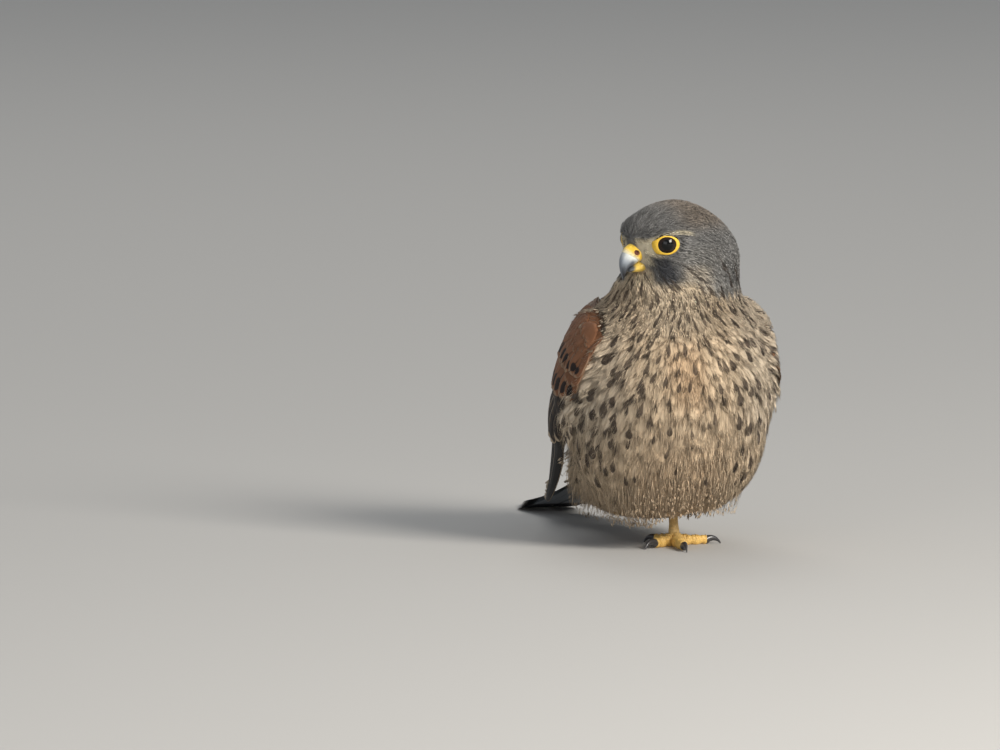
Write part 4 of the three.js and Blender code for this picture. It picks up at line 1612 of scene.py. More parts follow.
@dataclass
class Wing:
    """One folded wing: tiers of vanes over a thin pad."""

    side: Side
    pad_end: float = 0.44
    pad_over: float = 1.3
    pad_under: float = 0.3
    pad_cells: int = 24
    cells: int = 14

    @property
    def shape(self) -> WingShape:
        """The sheet that this wing lies on."""
        return WINGS[self.side]

    def tier(self, tier: Tier, cell: int, rng: Rng) -> tuple[Array, ...]:
        """One row of vanes.

        Args:
            tier: the row's sizes.
            cell: the first cell of the bake map that is free.
            rng: the source of variation.

        Returns:
            Vertices, triangles, feather map, bake map, ground colours and marks.
        """
        k = np.linspace(0.0, 1.0, tier.count)[:, None]
        t = np.linspace(0.0, 1.0, tier.rows)[None]
        root = lerp(np.array(tier.root_low), np.array(tier.root_high), k)
        tip = lerp(np.array(tier.tip_low), np.array(tier.tip_high), np.hstack([k**tier.bend, k]))
        tip = tip + rng.normal(0.0, tier.wander, tip.shape) * np.array([0.5, 1.0])
        a = lerp(root[:, :1], tip[:, :1], t)
        c = lerp(root[:, 1:], tip[:, 1:], t)
        up = self.shape.normal(a, c)
        lift = lerp(tier.lift, tier.tip_lift, t) + rng.normal(0.0, 0.08, (tier.count, 1))
        centre = self.shape.sheet(a, c) + up * lift[..., None]
        half = tier.width / 2 * tier.outline.half(t) * rng.uniform(0.93, 1.07, (tier.count, 1))
        half = np.maximum(half * (1.0 + rng.normal(0.0, 0.012, half.shape)), 0.25)
        rings = VANES.blades(centre, up, half, self.side.value * tier.roll, tier.camber, tier.thick)
        rings[..., 2] = np.maximum(rings[..., 2], FLOOR_CLEARANCE)
        verts, tris = tubes(rings)
        tris = outward(verts[0], tris)
        feather, bake = VANES.maps(tier.count, tier.rows, cell, self.cells)
        size = verts.shape[1]
        level = rng.normal(1.0, 0.08, (tier.count, 1, 1))
        ground = np.clip(np.array(tier.marks.ground) * level * np.ones((1, size, 1)), 0.003, 0.9)
        marks = np.array([tier.marks.spot, tier.marks.fringe, tier.marks.bars])
        marks = marks * np.ones((tier.count, size, 1))
        tris = spread_tris(tier.count, size, tris)
        return verts.reshape(-1, 3), tris, feather, bake, ground.reshape(-1, 3), marks.reshape(-1, 3)

    def pad(self) -> tuple[Array, ...]:
        """The flesh under the coverts: a flat tube on the sheet, widest near the shoulder.

        Returns:
            What tier gives, for the pad.
        """
        t = np.linspace(0.0, 1.0, self.pad_cells)[:, None]
        turn = full_turn(self.pad_cells)[None]
        along = lerp(0.005, self.pad_end, t) + 0 * turn
        swell = np.sqrt(np.minimum(1.0, 0.12 + 4 * t)) * (1.0 - 0.3 * t)
        across = 0.5 + 0.44 * np.cos(turn) * swell
        height = np.sin(turn) * np.where(np.sin(turn) > 0, self.pad_over, self.pad_under) * swell
        rings = self.shape.sheet(along, across) + self.shape.normal(along, across) * height[..., None]
        verts, tris = tube(rings)
        bake = 0.995 - 0.01 * unit(verts)[:, :2] ** 2
        ground = np.broadcast_to(np.array(PAINT.chestnut), verts.shape)
        return verts, tris, np.full((len(verts), 2), 0.3), bake, ground, np.zeros_like(verts)

    def build(self, finish: Material) -> Piece:
        """Builds the wing as one piece in place of its solid.

        Args:
            finish: the feathers' material.

        Returns:
            The piece.
        """
        rng = np.random.default_rng(SEED + 7)
        cells = np.cumsum([0] + [tier.count for tier in TIERS])
        parts = [self.tier(tier, cell, rng) for tier, cell in zip(TIERS, cells)] + [self.pad()]
        verts, tris = joined([part[:2] for part in parts])
        feather, bake, ground, marks = (np.concatenate([part[k] for part in parts]) for k in range(2, 6))
        name = f"wing_{self.side.name.lower()}"
        maps = {BAKE_MAP: bake, "Feather": feather}
        piece = make_piece(f"{name}_feathers", verts, tris, finish, maps, {"Tint": ground, "Marks": marks})
        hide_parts(name)
        return piece


@dataclass
class Tail:
    """Twelve tail feathers, the middle pair on top, laid back until the tip rests on the floor."""

    root: Triple = (0.0, 50.0, 50.0)
    tip: Triple = (0.0, 194.0, 2.0)
    sag: float = 7.0
    a_side: int = 6
    layer: float = 0.85
    middle_gap: float = 0.3
    rows: int = 48
    stump_rows: int = 12
    stump_sides: int = 20
    cells: int = 4

    def blade(self, side: Side, k: int) -> Array:
        """Rings of one feather: its line from root to tip sags by a sine and each pair outwards lies lower.

        Args:
            side: the side of the bird.
            k: the pair's number, 0 for the middle one.

        Returns:
            Points shaped 1 by rows by ring by 3.
        """
        t = np.linspace(0.0, 1.0, self.rows)
        reach = 1.0 - 0.012 * k**1.2
        line = np.array(self.tip) - np.array(self.root)
        centre = np.array(self.root) + line * (reach * t)[:, None]
        edge = lerp(6.0 + 0.6 * k, 8.0 + 1.6 * k, t)
        centre[:, 0] = side.value * (self.middle_gap + edge) / 2
        centre[:, 2] -= self.sag * np.sin(math.pi * reach * t) + self.layer * k
        centre[:, 2] = np.maximum(centre[:, 2], 0.9 - 0.1 * k)
        half = (edge - self.middle_gap) / 2 * Outline.SQUARE.half(t) / (0.6 + 0.4 * t)
        up = np.broadcast_to(unit(np.array([0.0, 0.3, 1.0])), centre.shape)
        rings = VANES.blades(centre[None], up[None], half[None], 0.0, 0.06, 0.4)
        rings[..., 2] = np.maximum(rings[..., 2], TAIL_CLEARANCE)
        return rings

    def build(self, finish: Material) -> Piece:
        """Builds the tail's feathers and their fleshy root as one piece in place of the solid.

        Args:
            finish: the material.

        Returns:
            The piece.
        """
        rings = [self.blade(side, k) for k in range(self.a_side) for side in Side]
        verts, tris = tubes(np.concatenate(rings))
        count, size = verts.shape[:2]
        feather, bake = VANES.maps(count, self.rows, 0, self.cells)
        stump = self.stump()
        verts, tris = joined([(verts.reshape(-1, 3), spread_tris(count, size, tris)), stump])
        bake = np.concatenate([bake, 0.97 + 0.02 * unit(stump[0])[:, :2] ** 2])
        feather = np.concatenate([feather, np.full((len(stump[0]), 2), 0.3)])
        ground = np.broadcast_to(np.array(PAINT.tail), verts.shape)
        piece = make_piece(
            "tail_feathers", verts, tris, finish,
            {BAKE_MAP: bake, "Feather": feather}, {"Tint": ground, "Marks": np.zeros_like(verts)},
        )
        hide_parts("tail")
        return piece

    def stump(self) -> Mesh:
        """The flesh that the tail grows from: a tapered tube under the middle pair.

        Returns:
            Vertices and triangles.
        """
        root = np.array(self.root)
        along = unit(np.array(self.tip) - root)
        t = np.linspace(0.0, 1.0, self.stump_rows)
        path = root + along * lerp(-2.0, 40.0, t)[:, None]
        path[:, 2] -= 3.0 + 4.4 * t
        turn = full_turn(self.stump_sides)
        side = np.array([1.0, 0.0, 0.0])
        up = np.cross(side, along)
        ring = np.cos(turn)[None, :, None] * side * lerp(11.0, 7.0, t)[:, None, None]
        ring = ring + np.sin(turn)[None, :, None] * up * lerp(7.0, 2.6, t)[:, None, None]
        return tube(path[:, None] + ring)


def on_head(low: float) -> Callable[[Array], Array]:
    """A test that keeps places above a level, clear of the bill and the eyes.

    Args:
        low: the level.

    Returns:
        A function from places to whether each is kept.
    """

    def keep(p: Array) -> Array:
        """Whether a feather may grow at each place.

        Args:
            p: points on the bird's axes.

        Returns:
            True for each place that is kept.
        """
        f, l, u = np.moveaxis(HEAD.local(p), -1, 0)
        bill = (f > 20.5 + 0.12 * np.abs(l)) & (np.abs(l) < 7.2) & (u < 4.4) & (u > -11.0)
        return (p[..., 2] > low) & ~bill & clear_of_eyes(p)

    return keep


@dataclass(frozen=True)
class Size:
    """Lengths and widths of feathers that pass from one pair to another between two levels."""

    low: float
    high: float
    lengths: Pair
    widths: Pair

    def __call__(self, p: Array) -> tuple[Array, Array]:
        """The length and the width of a feather at each place."""
        share = smooth(self.low, self.high, p[:, 2])
        return lerp(*self.lengths, share), lerp(*self.widths, share)


class Plumage:
    """The skin and the feathers over it: torso, neck, head, and wisps over the lower belly."""

    body_size = Size(78.0, 122.0, (27.0, 15.0), (9.8, 5.8))
    under_size = Size(80.0, 125.0, (21.0, 13.0), (11.5, 7.5))
    silk_size = Size(80.0, 125.0, (18.0, 11.0), (2.0, 2.0))
    neck_size = Size(118.0, 136.0, (17.0, 12.0), (3.0, 3.0))

    def __init__(self, finish: Material, skin_finish: Material) -> None:
        """Keeps the two finishes."""
        self.finish = finish
        self.skin_finish = skin_finish

    def skin(self) -> Piece:
        """The skin as one closed loft in place of torso, neck and head, sunk round the eyes.

        Returns:
            The piece.
        """
        levels = SKIN.ring_levels(SKIN.levels)
        angles = full_turn(SKIN.around)
        z, turn = np.meshgrid(levels, angles, indexing="ij")
        rings = SKIN.at(z, turn)
        for side in Side:
            deep = np.maximum(dot(rings - EYE.centre(side), EYE.axis(side)) - 2.2, 0.0)
            sink = deep * smooth(1.0, -0.3, beyond_lids(rings, side))
            rings = rings - EYE.axis(side) * sink[..., None]
        verts, tris = tube(rings)
        # The skin is the coat's colour at 0.55: painted shade between the feathers.
        colour = np.clip(coat_colour(verts) * 0.55, 0.004, 0.9)
        bake = SKIN.unwrap(verts)
        piece = make_piece("coat_skin", verts, tris, self.skin_finish, {BAKE_MAP: bake}, {"Tint": colour})
        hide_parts("torso", "neck", "head")
        return piece

    @staticmethod
    def wisp_size(p: Array) -> tuple[Array, Array]:
        """Lengths and widths of the belly's hair-like wisps, which end at its hem."""
        ragged = 1.0 + 0.16 * np.sin(1.9 * p[:, 0] + 0.7 * p[:, 2]) * np.sin(1.3 * p[:, 1] + 2.1 * p[:, 2])
        return np.clip(over_hem(p) / 0.84, 4.0, 25.0) * ragged, np.full(len(p), 3.6)

    @staticmethod
    def head_size(p: Array) -> tuple[Array, Array]:
        """Lengths and widths of the head's feathers: tiny on the face, longer on the crown, longest behind.

        Args:
            p: points on the bird's axes.

        Returns:
            Lengths and widths.
        """
        f = HEAD.local(p)[:, 0]
        length = lerp(14.0, 12.0, smooth(-16.0, 4.0, f))
        length = lerp(length, 4.5, smooth(8.0, 21.0, f))
        return length, 0.13 * length + 0.7

    @staticmethod
    def off_wing(p: Array) -> Array:
        """Whether a feather may grow: anywhere but well under a wing."""
        return wing_gap(p, 0.24) > 8.0

    @staticmethod
    def on_belly(p: Array) -> Array:
        """Whether a wisp may grow: over the lower belly and its hem, more to the middle.

        Args:
            p: points on the bird's axes.

        Returns:
            True for each place that is kept.
        """
        side = np.abs(p[:, 0] - 0.5 * LIE.parting_x)
        top = 60.0 - 0.9 * np.maximum(side - 12.0, 0.0) + 24.0 * smooth(0.0, 20.0, p[:, 1])
        return (p[:, 2] < top) & (over_hem(p) > 7.0)

    def tracts(self) -> list[Tract]:
        """The coat's tracts from the inside out.

        Returns:
            The tracts.
        """
        low, grows = SKIN.low, self.off_wing
        vane = {"tip_height": 0.0, "height_vary": 0.15, "rise_power": 0.45, "camber": 0.06, "twist": 9.0,
                "fringe": 0.15, "root_level": 0.82, "feather_vary": 0.05}
        return [
            Tract(
                "under_coat", "buff_coat", Contour(22.0, 11.0, barbs=4), 1300, low, 127.0, self.under_size,
                grows, tip_height=-1.3, rise_power=0.4, height_vary=0.12, root_level=0.8, seed=1,
            ),
            Tract(
                "body_coat", "buff_coat", Contour(26.0, 9.5, barbs=17), 1000, low, 98.0, self.body_size,
                grows, seed=2, **vane,
            ),
            Tract(
                "breast_coat", "buff_coat", Contour(17.0, 6.5, barbs=13), 900, 94.0, 134.0, self.body_size,
                grows, seed=3, **vane,
            ),
            Tract(
                "silk", "buff_coat", Loose(0, 16.0, 2.0, 0.4, shaft_width=0.30), 10000, low, 130.0,
                self.silk_size, grows, tip_height=0.35, height_vary=0.25, twist=9.0, shaft_shade=1.0,
                feather_vary=0.10, rise_power=0.22, root_level=0.9, seed=7,
            ),
            Tract(
                "belly_wisps", "buff_coat", Loose(2, 24.0, 3.4, 0.40, first=0.1, sweep=0.6, shaft_width=0.38),
                3600, 24.0, 68.0, self.wisp_size, self.on_belly, tip_height=0.4, height_vary=0.7, twist=8.0,
                fray=0.2, lock_vary=0.08, feather_vary=0.12, shaft_shade=1.0, fringe=0.08, rise_power=0.22,
                root_level=0.9, hang=0.85, seed=4,
            ),
            Tract(
                "neck_coat", "buff_coat", Loose(3, 14.0, 3.0, 0.5, first=0.1, sweep=0.5, shaft_width=0.5),
                2400, 114.0, 142.0, self.neck_size, on_head(116.0), tip_height=0.0, height_vary=0.3,
                rise_power=0.25, twist=5.0, fringe=0.1, root_level=0.9, lock_vary=0.07, feather_vary=0.1,
                seed=5,
            ),
            Tract(
                "head_coat", "grey_coat", Loose(2, 11.0, 1.9, 0.40, first=0.1, sweep=0.55, shaft_width=0.46),
                7000, 129.0, SKIN.high, self.head_size, on_head(131.0), tip_height=-0.05, height_vary=0.16,
                fray=0.08, twist=4.5, shaft_shade=0.68, lock_vary=0.14, feather_vary=0.24, rise_power=0.28,
                root_level=0.9, seed=6,
            ),
        ]

    def build(self) -> None:
        """Builds the skin and every tract."""
        self.skin()
        for tract in self.tracts():
            tract.grow(self.finish)


@dataclass
class BillHalf:
    """One half of the bill between a top line and a bottom line, forward and up in the head's frame."""

    top: Sequence[Pair]
    bottom: Sequence[Pair]
    halves: Sequence[float]
    ridge: float
    around: int = 120

    def __post_init__(self) -> None:
        """Runs smooth curves through the lines."""
        self.top_line = curve_through(self.top)
        self.bottom_line = curve_through(self.bottom)
        self.half_line = curve_through([(i, w) for i, w in enumerate(self.halves)])

    def at(self, share: Array, turn: Array) -> Array:
        """Points in the head's frame at shares from root to tip and turns round the bill.

        The rise is (1 + sin turn) / 2 from the bottom line to the top, and the side is the half width times
        (1 - ridge rise^2) times cos turn.

        Args:
            share: shares along, 0 to 1.
            turn: angles round, in radians.

        Returns:
            The points.
        """
        rise = (1.0 + np.sin(turn)) / 2
        middle = lerp(self.bottom_line(share), self.top_line(share), rise[..., None])
        half = np.maximum(0.35, self.half_line(share)[..., 1]) * (1.0 - self.ridge * rise**2)
        return np.stack([middle[..., 0], half * np.cos(turn), middle[..., 1]], axis=-1)


@dataclass
class Bill:
    """The bill: horn above and below, the waxy skin at its root and the nostrils in it."""

    upper: BillHalf = field(default_factory=lambda: BillHalf(
        ((21, 3.2), (26, 2.4), (30.2, 0.2), (32.8, -4), (33.2, -9), (31.6, -15)),
        ((19, -6.5), (23.5, -6.8), (27.4, -8.7), (29.7, -10.4), (30.5, -12.8), (31.2, -15.4)),
        (6.8, 6.0, 4.8, 3.5, 2.1, 0.5), 0.35,
    ))
    lower: BillHalf = field(default_factory=lambda: BillHalf(
        ((19, -5.2), (23, -5.8), (26, -8.0), (28.2, -9.9)),
        ((19, -11.8), (23, -11.9), (26, -11.8), (28.2, -11.4)),
        (5.4, 4.9, 3.6, 1.4), -0.1,
    ))
    cere_end: Pair = (28.0, -3.9)
    cere_lean: float = 56.0
    nostril: Triple = (26.6, 4.7, -1.7)
    nostril_radius: float = 1.15

    def parting(self, turn: Array) -> Array:
        """The share along the bill, at each turn, where skin gives way to horn on a leaning plane.

        Args:
            turn: angles round, in radians.

        Returns:
            One share a turn.
        """
        shares = np.linspace(0.05, 0.95, 400)
        p = self.upper.at(shares[:, None], turn[None])
        lean = math.radians(self.cere_lean)
        ahead = (p[..., 0] - self.cere_end[0]) * math.cos(lean)
        ahead = ahead - (p[..., 2] - self.cere_end[1]) * math.sin(lean)
        return shares[np.argmin(np.abs(ahead), axis=0)]

    def cere(self, finish: Material) -> Piece:
        """The waxy skin, swollen a little over the horn, with a round nostril that holds a small knob.

        Args:
            finish: the material.

        Returns:
            The piece.
        """
        turn = full_turn(self.upper.around)
        t = np.linspace(0.0, 1.0, 72)[:, None]
        share = self.parting(turn)[None] * t
        local = self.upper.at(share, turn[None])
        side = np.sign(local[..., 1])
        mirror = np.stack([np.ones_like(side), side, np.ones_like(side)], -1)
        centre = mirror * np.array(self.nostril)
        off = np.linalg.norm((local - centre)[..., [0, 2]], axis=-1) + 3.0 * (np.abs(local[..., 1]) < 2.0)
        r = off / self.nostril_radius
        push = 0.3 * np.exp(-(((r - 1.25) / 0.28) ** 2)) - 1.3 * smooth(1.0, 0.75, r)
        push = push + 1.0 * smooth(0.34, 0.16, r)
        swell = 0.42 * np.sin(math.pi * np.clip(t, 0.0, 1.0)) ** 0.6 * smooth(1.0, 0.94, t)
        out = unit(np.stack([0 * local[..., 0], local[..., 1], 0.6 * (local[..., 2] + 3.0)], -1))
        local = local + out * swell[..., None]
        local[..., 1] += side * push
        verts, tris = tube(HEAD.point(local))
        colour = painted(
            (0.78, 0.50, 0.05), local.shape,
            ((0.66, 0.50, 0.12), 0.6 * smooth(0.0, 4.0, local[..., 2])),
            ((0.66, 0.64, 0.48), 0.85 * smooth(0.72, 1.0, t) * (local[..., 2] > -6.0)),
            # The nostril's pit is painted dark: painted shade in the hole.
            ((0.16, 0.05, 0.03), smooth(1.35, 0.9, r)),
        )
        piece = make_piece("cere_skin", verts, tris, finish, None, {"Tint": self.capped(colour)})
        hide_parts("cere")
        return piece

    @staticmethod
    def capped(colour: Array) -> Array:
        """A colour for each ring point, and for the two end points that close a tube."""
        ends = [colour[:1].mean(axis=(0, 1)), colour[-1:].mean(axis=(0, 1))]
        return np.concatenate([colour.reshape(-1, 3), ends])

    def horn(self, finish: Material) -> Piece:
        """The upper horn from the waxy skin to the hooked tip, with a small tooth on its cutting edge.

        Args:
            finish: the material.

        Returns:
            The piece.
        """
        turn = full_turn(self.upper.around)
        t = np.linspace(0.0, 1.0, 80)[:, None]
        share = lerp(self.parting(turn)[None] - 0.02, 1.0, t)
        local = self.upper.at(share, turn[None])
        under = smooth(-0.55, -0.95, np.sin(turn))[None]
        local[..., 2] -= under * 0.45 * np.exp(-(((t - 0.16) / 0.08) ** 2))
        verts, tris = tube(HEAD.point(local))
        drop = np.clip((2.0 - local[..., 2]) / 17.0, 0.0, 1.0)
        above = np.sin(turn)[None]
        # The pale silver at the horn's root, by the waxy skin, is a painted highlight.
        colour = painted(
            (0.62, 0.64, 0.60), local.shape,
            ((0.30, 0.33, 0.36), smooth(0.05, 0.35, t) * np.ones_like(drop)),
            ((0.10, 0.11, 0.13), smooth(0.1, -0.5, above) * smooth(0.02, 0.22, t)),
            ((0.07, 0.08, 0.095), smooth(0.42, 0.72, drop)),
            ((0.015, 0.015, 0.018), smooth(0.6, 0.9, drop)),
            ((0.16, 0.18, 0.21), 0.6 * smooth(0.6, 0.95, above) * (t > 0.0)),
        )
        piece = make_piece("bill_upper_horn", verts, tris, finish, None, {"Tint": self.capped(colour)})
        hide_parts("bill_upper")
        return piece

    def lower_horn(self, finish: Material) -> Piece:
        """The lower half, yellow at its root and along the corner of the mouth.

        Args:
            finish: the material.

        Returns:
            The piece.
        """
        turn = full_turn(self.lower.around)
        t = np.linspace(0.0, 1.0, 48)[:, None]
        local = self.lower.at(t + 0 * turn[None], turn[None])
        verts, tris = tube(HEAD.point(local))
        root = smooth(0.85, 0.62, t + 0.08 * np.sin(turn)[None])
        colour = painted((0.10, 0.11, 0.12), local.shape, ((0.76, 0.52, 0.10), root))
        piece = make_piece("bill_lower_horn", verts, tris, finish, None, {"Tint": self.capped(colour)})
        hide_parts("bill_lower")
        return piece

    def build(self, skin: Material, horn: Material) -> None:
        """Builds the three pieces.

        Args:
            skin: the material of bare skin.
            horn: the material of the horn.
        """
        self.cere(skin)
        self.horn(horn)
        self.lower_horn(horn)


@dataclass
class Eyes:
    """Eyeballs with a low cornea, and bare yellow lids drawn out to a corner in front."""

    lid_height: float = 4.4
    lid_thick: float = 0.7
    slope: float = 0.5
    bend: float = 0.3
    ball_rows: int = 48
    ball_sides: int = 64
    lid_turns: int = 160
    lid_sides: int = 20

    def ball(self, side: Side, finish: Material) -> Piece:
        """The eyeball: a sphere whose front bulges by 0.45 mm over the dark iris.

        Args:
            side: the side of the bird.
            finish: the material.

        Returns:
            The piece.
        """
        forward, up, axis = eye_axes(side)
        polar = np.linspace(0.02, math.pi - 0.02, self.ball_rows)[:, None]
        turn = full_turn(self.ball_sides)[None]
        radius = EYE.radius + 0.45 * smooth(0.75, 0.0, polar)
        across = radius * np.sin(polar)
        p = forward * (across * np.cos(turn))[..., None] + up * (across * np.sin(turn))[..., None]
        p = EYE.centre(side) + p + axis * (radius * np.cos(polar))[..., None]
        verts, tris = tube(p)
        tris = outward(verts - EYE.centre(side), tris)
        off = np.linalg.norm(np.cross(verts - EYE.centre(side), axis), axis=-1)
        colour = painted(
            (0.020, 0.011, 0.007), verts.shape,
            ((0.003, 0.003, 0.003), smooth(3.1, 2.7, off)),
            ((0.004, 0.003, 0.003), smooth(4.0, 4.5, off)),
        )
        name = f"eye_{side.name.lower()}"
        piece = make_piece(f"{name}_ball", verts, tris, finish, None, {"Tint": colour})
        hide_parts(name)
        return piece

    def lids(self, side: Side, finish: Material) -> Piece:
        """The lids: a flat ring between the outline's two edges that falls away outwards, beaded finely.

        Args:
            side: the side of the bird.
            finish: the material.

        Returns:
            The piece.
        """
        forward, up, axis = eye_axes(side)
        turns, sides = self.lid_turns, self.lid_sides
        turn = full_turn(turns)[:, None]
        ring = full_turn(sides)[None]
        inner, outer = LID_LINES[side].edges(turn)
        centre = (inner + outer) / 2
        half = (outer - inner) / 2
        bead = 0.05 * np.sin(46 * turn) * np.maximum(np.sin(ring), 0.0)
        r = centre + half * np.cos(ring)
        past = r - LID_LINES[side].opening
        height = self.lid_height - self.slope * past - self.bend * np.maximum(past - 1.0, 0.0) ** 2
        height = height + (self.lid_thick / 2 + bead) * np.sin(ring)
        p = forward * (r * np.cos(turn))[..., None] + up * (r * np.sin(turn))[..., None]
        p = p + axis * height[..., None]
        verts = (EYE.centre(side) + p).reshape(-1, 3)
        last = ring_tris(2, sides)
        wrap = last % sides + (last < sides) * (turns - 1) * sides
        tris = outward(verts - EYE.centre(side), np.concatenate([ring_tris(turns, sides), wrap]))
        tint_map = {"Tint": painted((0.80, 0.50, 0.05), verts.shape)}
        piece = make_piece(f"lids_{side.name.lower()}", verts, tris, finish, None, tint_map)
        return piece

    def build(self, finish: Material, skin: Material) -> None:
        """Builds both eyes and their lids.

        Args:
            finish: the material.
            skin: the material of bare skin.
        """
        for side in Side:
            self.ball(side, finish)
            self.lids(side, skin)


def swept(
    path: Array,
    across: Array,
    tall: Array,
    turns: int,
    shape: Optional[Callable[[Array, Array], Array]] = None,
) -> Array:
    """Rings carried along a path, each an upright ellipse across it.

    Args:
        path: points in order.
        across: half widths, one a point.
        tall: half heights, one a point.
        turns: points in a ring.
        shape: a factor on the radius from the share along and the turn round.

    Returns:
        Ring points, shaped path by turns by 3.
    """
    along = unit(np.gradient(path, axis=0))
    side = unit(np.cross(along, UP))
    up = np.cross(side, along)
    turn = full_turn(turns)[None]
    share = np.linspace(0.0, 1.0, len(path))[:, None]
    grow = shape(share, turn) if shape else 1.0 + 0 * turn
    wide = (across[:, None] * np.cos(turn) * grow)[..., None] * side[:, None]
    high = (tall[:, None] * np.sin(turn) * grow)[..., None] * up[:, None]
    return path[:, None] + wide + high


@dataclass(frozen=True)
class Toe:
    """A toe's direction over the floor, its length, its half width and its claw's length."""

    aim: Pair
    length: float
    half: float
    claw: float

    def forward(self) -> Array:
        """The unit direction over the floor."""
        return unit(np.array([*self.aim, 0.0]))


TOES = {
    "inner": Toe((-0.82, -0.57), 17.0, 2.5, 10.5),
    "middle": Toe((-0.17, -0.985), 26.0, 2.4, 10.5),
    "outer": Toe((0.985, -0.05), 17.0, 2.3, 9.0),
    "hind": Toe((-0.5, 0.87), 12.0, 2.4, 9.5),
}


@dataclass
class Foot:
    """The standing foot: shank, ball, four scuted toes flat on the floor, and their curved claws."""

    ball: Triple = (3.5, -1.0, 3.4)
    shank_top: Triple = (4.4, 5.0, 30.0)
    shank_half: float = 2.3
    press: float = 0.3
    pads: int = 3
    scute: float = 1.75
    palm: Triple = (4.3, 3.9, 3.6)
    toe_rows: int = 150
    toe_sides: int = 28
    claw_start: float = -35.0
    claw_sweep: float = 100.0

    def line(self, toe: Toe, t: Array) -> Array:
        """A toe's centre line at shares from the ball to its end, with a slight knuckle to each pad.

        Args:
            toe: the toe.
            t: shares along, 0 to 1.

        Returns:
            The line's points.
        """
        knuckle = 0.3 * np.sin(math.pi * self.pads * t) ** 2
        height = lerp(self.ball[2], toe.half - self.press, np.minimum(1.0, 3.0 * t)) + knuckle
        p = np.array([self.ball[0], self.ball[1], 0.0]) + toe.forward() * (toe.length * t)[:, None]
        return p + UP * height[:, None]

    def toe(self, toe: Toe) -> Mesh:
        """A toe: its radius swells under each pad, and plates overlap along its top as a saw's teeth do.

        Args:
            toe: the toe.

        Returns:
            Vertices and triangles.
        """
        t = np.linspace(0.0, 1.0, self.toe_rows)
        half = toe.half * lerp(1.12, 0.82, t) * (1.0 + 0.13 * np.cos(2 * math.pi * self.pads * t))
        plates = toe.length / self.scute

        def shape(share: Array, turn: Array) -> Array:
            """The factor on the radius: plates above, a grid of small bumps below.

            Args:
                share: shares along, 0 to 1.
                turn: angles round, in radians.

            Returns:
                The factor.
            """
            step = (share * plates) % 1.0
            above = smooth(0.15, 0.75, np.sin(turn))
            plate = 0.19 * (1.0 - step**3) * smooth(0.0, 0.12, step) * above
            bump = 0.03 * np.sin(share * plates * 9.0) * np.sin(11 * turn) * (1.0 - above)
            end = np.sqrt(np.clip(1.0 - np.maximum(0, (share - 0.93) / 0.08) ** 2, 0.2, 1.0))
            return (1.0 + plate + bump) * end

        return tube(swept(self.line(toe, t), half, 1.12 * half, self.toe_sides, shape))

    def claw(self, name: str, toe: Toe, finish: Material) -> Piece:
        """A claw: a tapering arc of a circle from the toe's end over and down to the floor.

        Args:
            name: its name.
            toe: the toe.
            finish: the material.

        Returns:
            The piece.
        """
        start = self.line(toe, np.array([1.0]))[0]
        t = np.linspace(0.0, 1.0, 40)
        begin = math.radians(self.claw_start)
        turn = begin + math.radians(self.claw_sweep) * t
        radius = toe.claw / 1.75
        out = radius * (np.sin(turn) - math.sin(begin)) - 0.4
        rise = radius * (np.cos(turn) - math.cos(begin))
        path = start + toe.forward() * out[:, None] + UP * rise[:, None]
        rings = swept(path, 0.78 * toe.half * (1 - 0.9 * t), 0.92 * toe.half * (1 - 0.88 * t), 24)
        rings[..., 2] = np.maximum(rings[..., 2], CLAW_CLEARANCE)
        verts, tris = tube(rings)
        tint_map = {"Tint": painted((0.035, 0.033, 0.034), verts.shape)}
        piece = make_piece(f"claw_{name}_horn", verts, tris, finish, None, tint_map)
        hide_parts(f"claw_left_{name}")
        return piece

    def build(self, skin: Material, claw: Material) -> None:
        """Builds the foot in place of its solid, then its claws.

        Args:
            skin: the material of bare skin.
            claw: the material of the claws.
        """
        ball, top = np.array(self.ball), np.array(self.shank_top)
        t = np.linspace(0.0, 1.0, 80)
        path = lerp(ball, top, t[:, None])
        half = self.shank_half * (1.0 + 0.35 * smooth(0.3, 0.0, t))

        def plates(share: Array, turn: Array) -> Array:
            """The factor on the shank's radius: shallow plates over its front."""
            return 1.0 + 0.03 * np.cos(26 * math.pi * share) * np.maximum(0, np.sin(turn))

        shank = swept(path, half, half, 32, plates)
        polar = np.linspace(0.03, math.pi - 0.03, 40)[:, None]
        turn = full_turn(48)[None]
        palm = [np.sin(polar) * np.cos(turn), np.sin(polar) * np.sin(turn), np.cos(polar) + 0 * turn]
        palm = ball + np.stack(palm, -1) * np.array(self.palm)
        parts = [tube(shank), tube(palm)] + [self.toe(toe) for toe in TOES.values()]
        parts = [(verts, outward(verts - verts.mean(axis=0), tris)) for verts, tris in parts]
        verts, tris = joined(parts)
        verts[:, 2] = np.maximum(verts[:, 2], CLAW_CLEARANCE)
        colour = painted(
            (0.68, 0.43, 0.12), verts.shape,
            ((0.62, 0.45, 0.22), 0.5 * smooth(4.0, 7.0, verts[:, 2])),
        )
        piece = make_piece("foot_left_skin", verts, tris, skin, None, {"Tint": colour})
        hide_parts("foot_left")
        for name, toe in TOES.items():
            self.claw(name, toe, claw)


def operator(operation: str, swapped: bool = False) -> Callable[..., "Value"]:
    """An operator for shader numbers that adds one Math node.

    Args:
        operation: the Math node's operation.
        swapped: whether the other number comes first, as in the reflected forms.

    Returns:
        The method.
    """

    def apply(value: "Value", other: object = 0.0) -> "Value":
        """The Math node over the number and the other one.

        Args:
            value: what it is given.
            other: the other number or socket.

        Returns:
            The node's number.
        """
        first, second = (other, value) if swapped else (value, other)
        made = value.graph.node("ShaderNodeMath", {"operation": operation}, {0: first, 1: second})
        return Value(value.graph, made.outputs[0])

    return apply


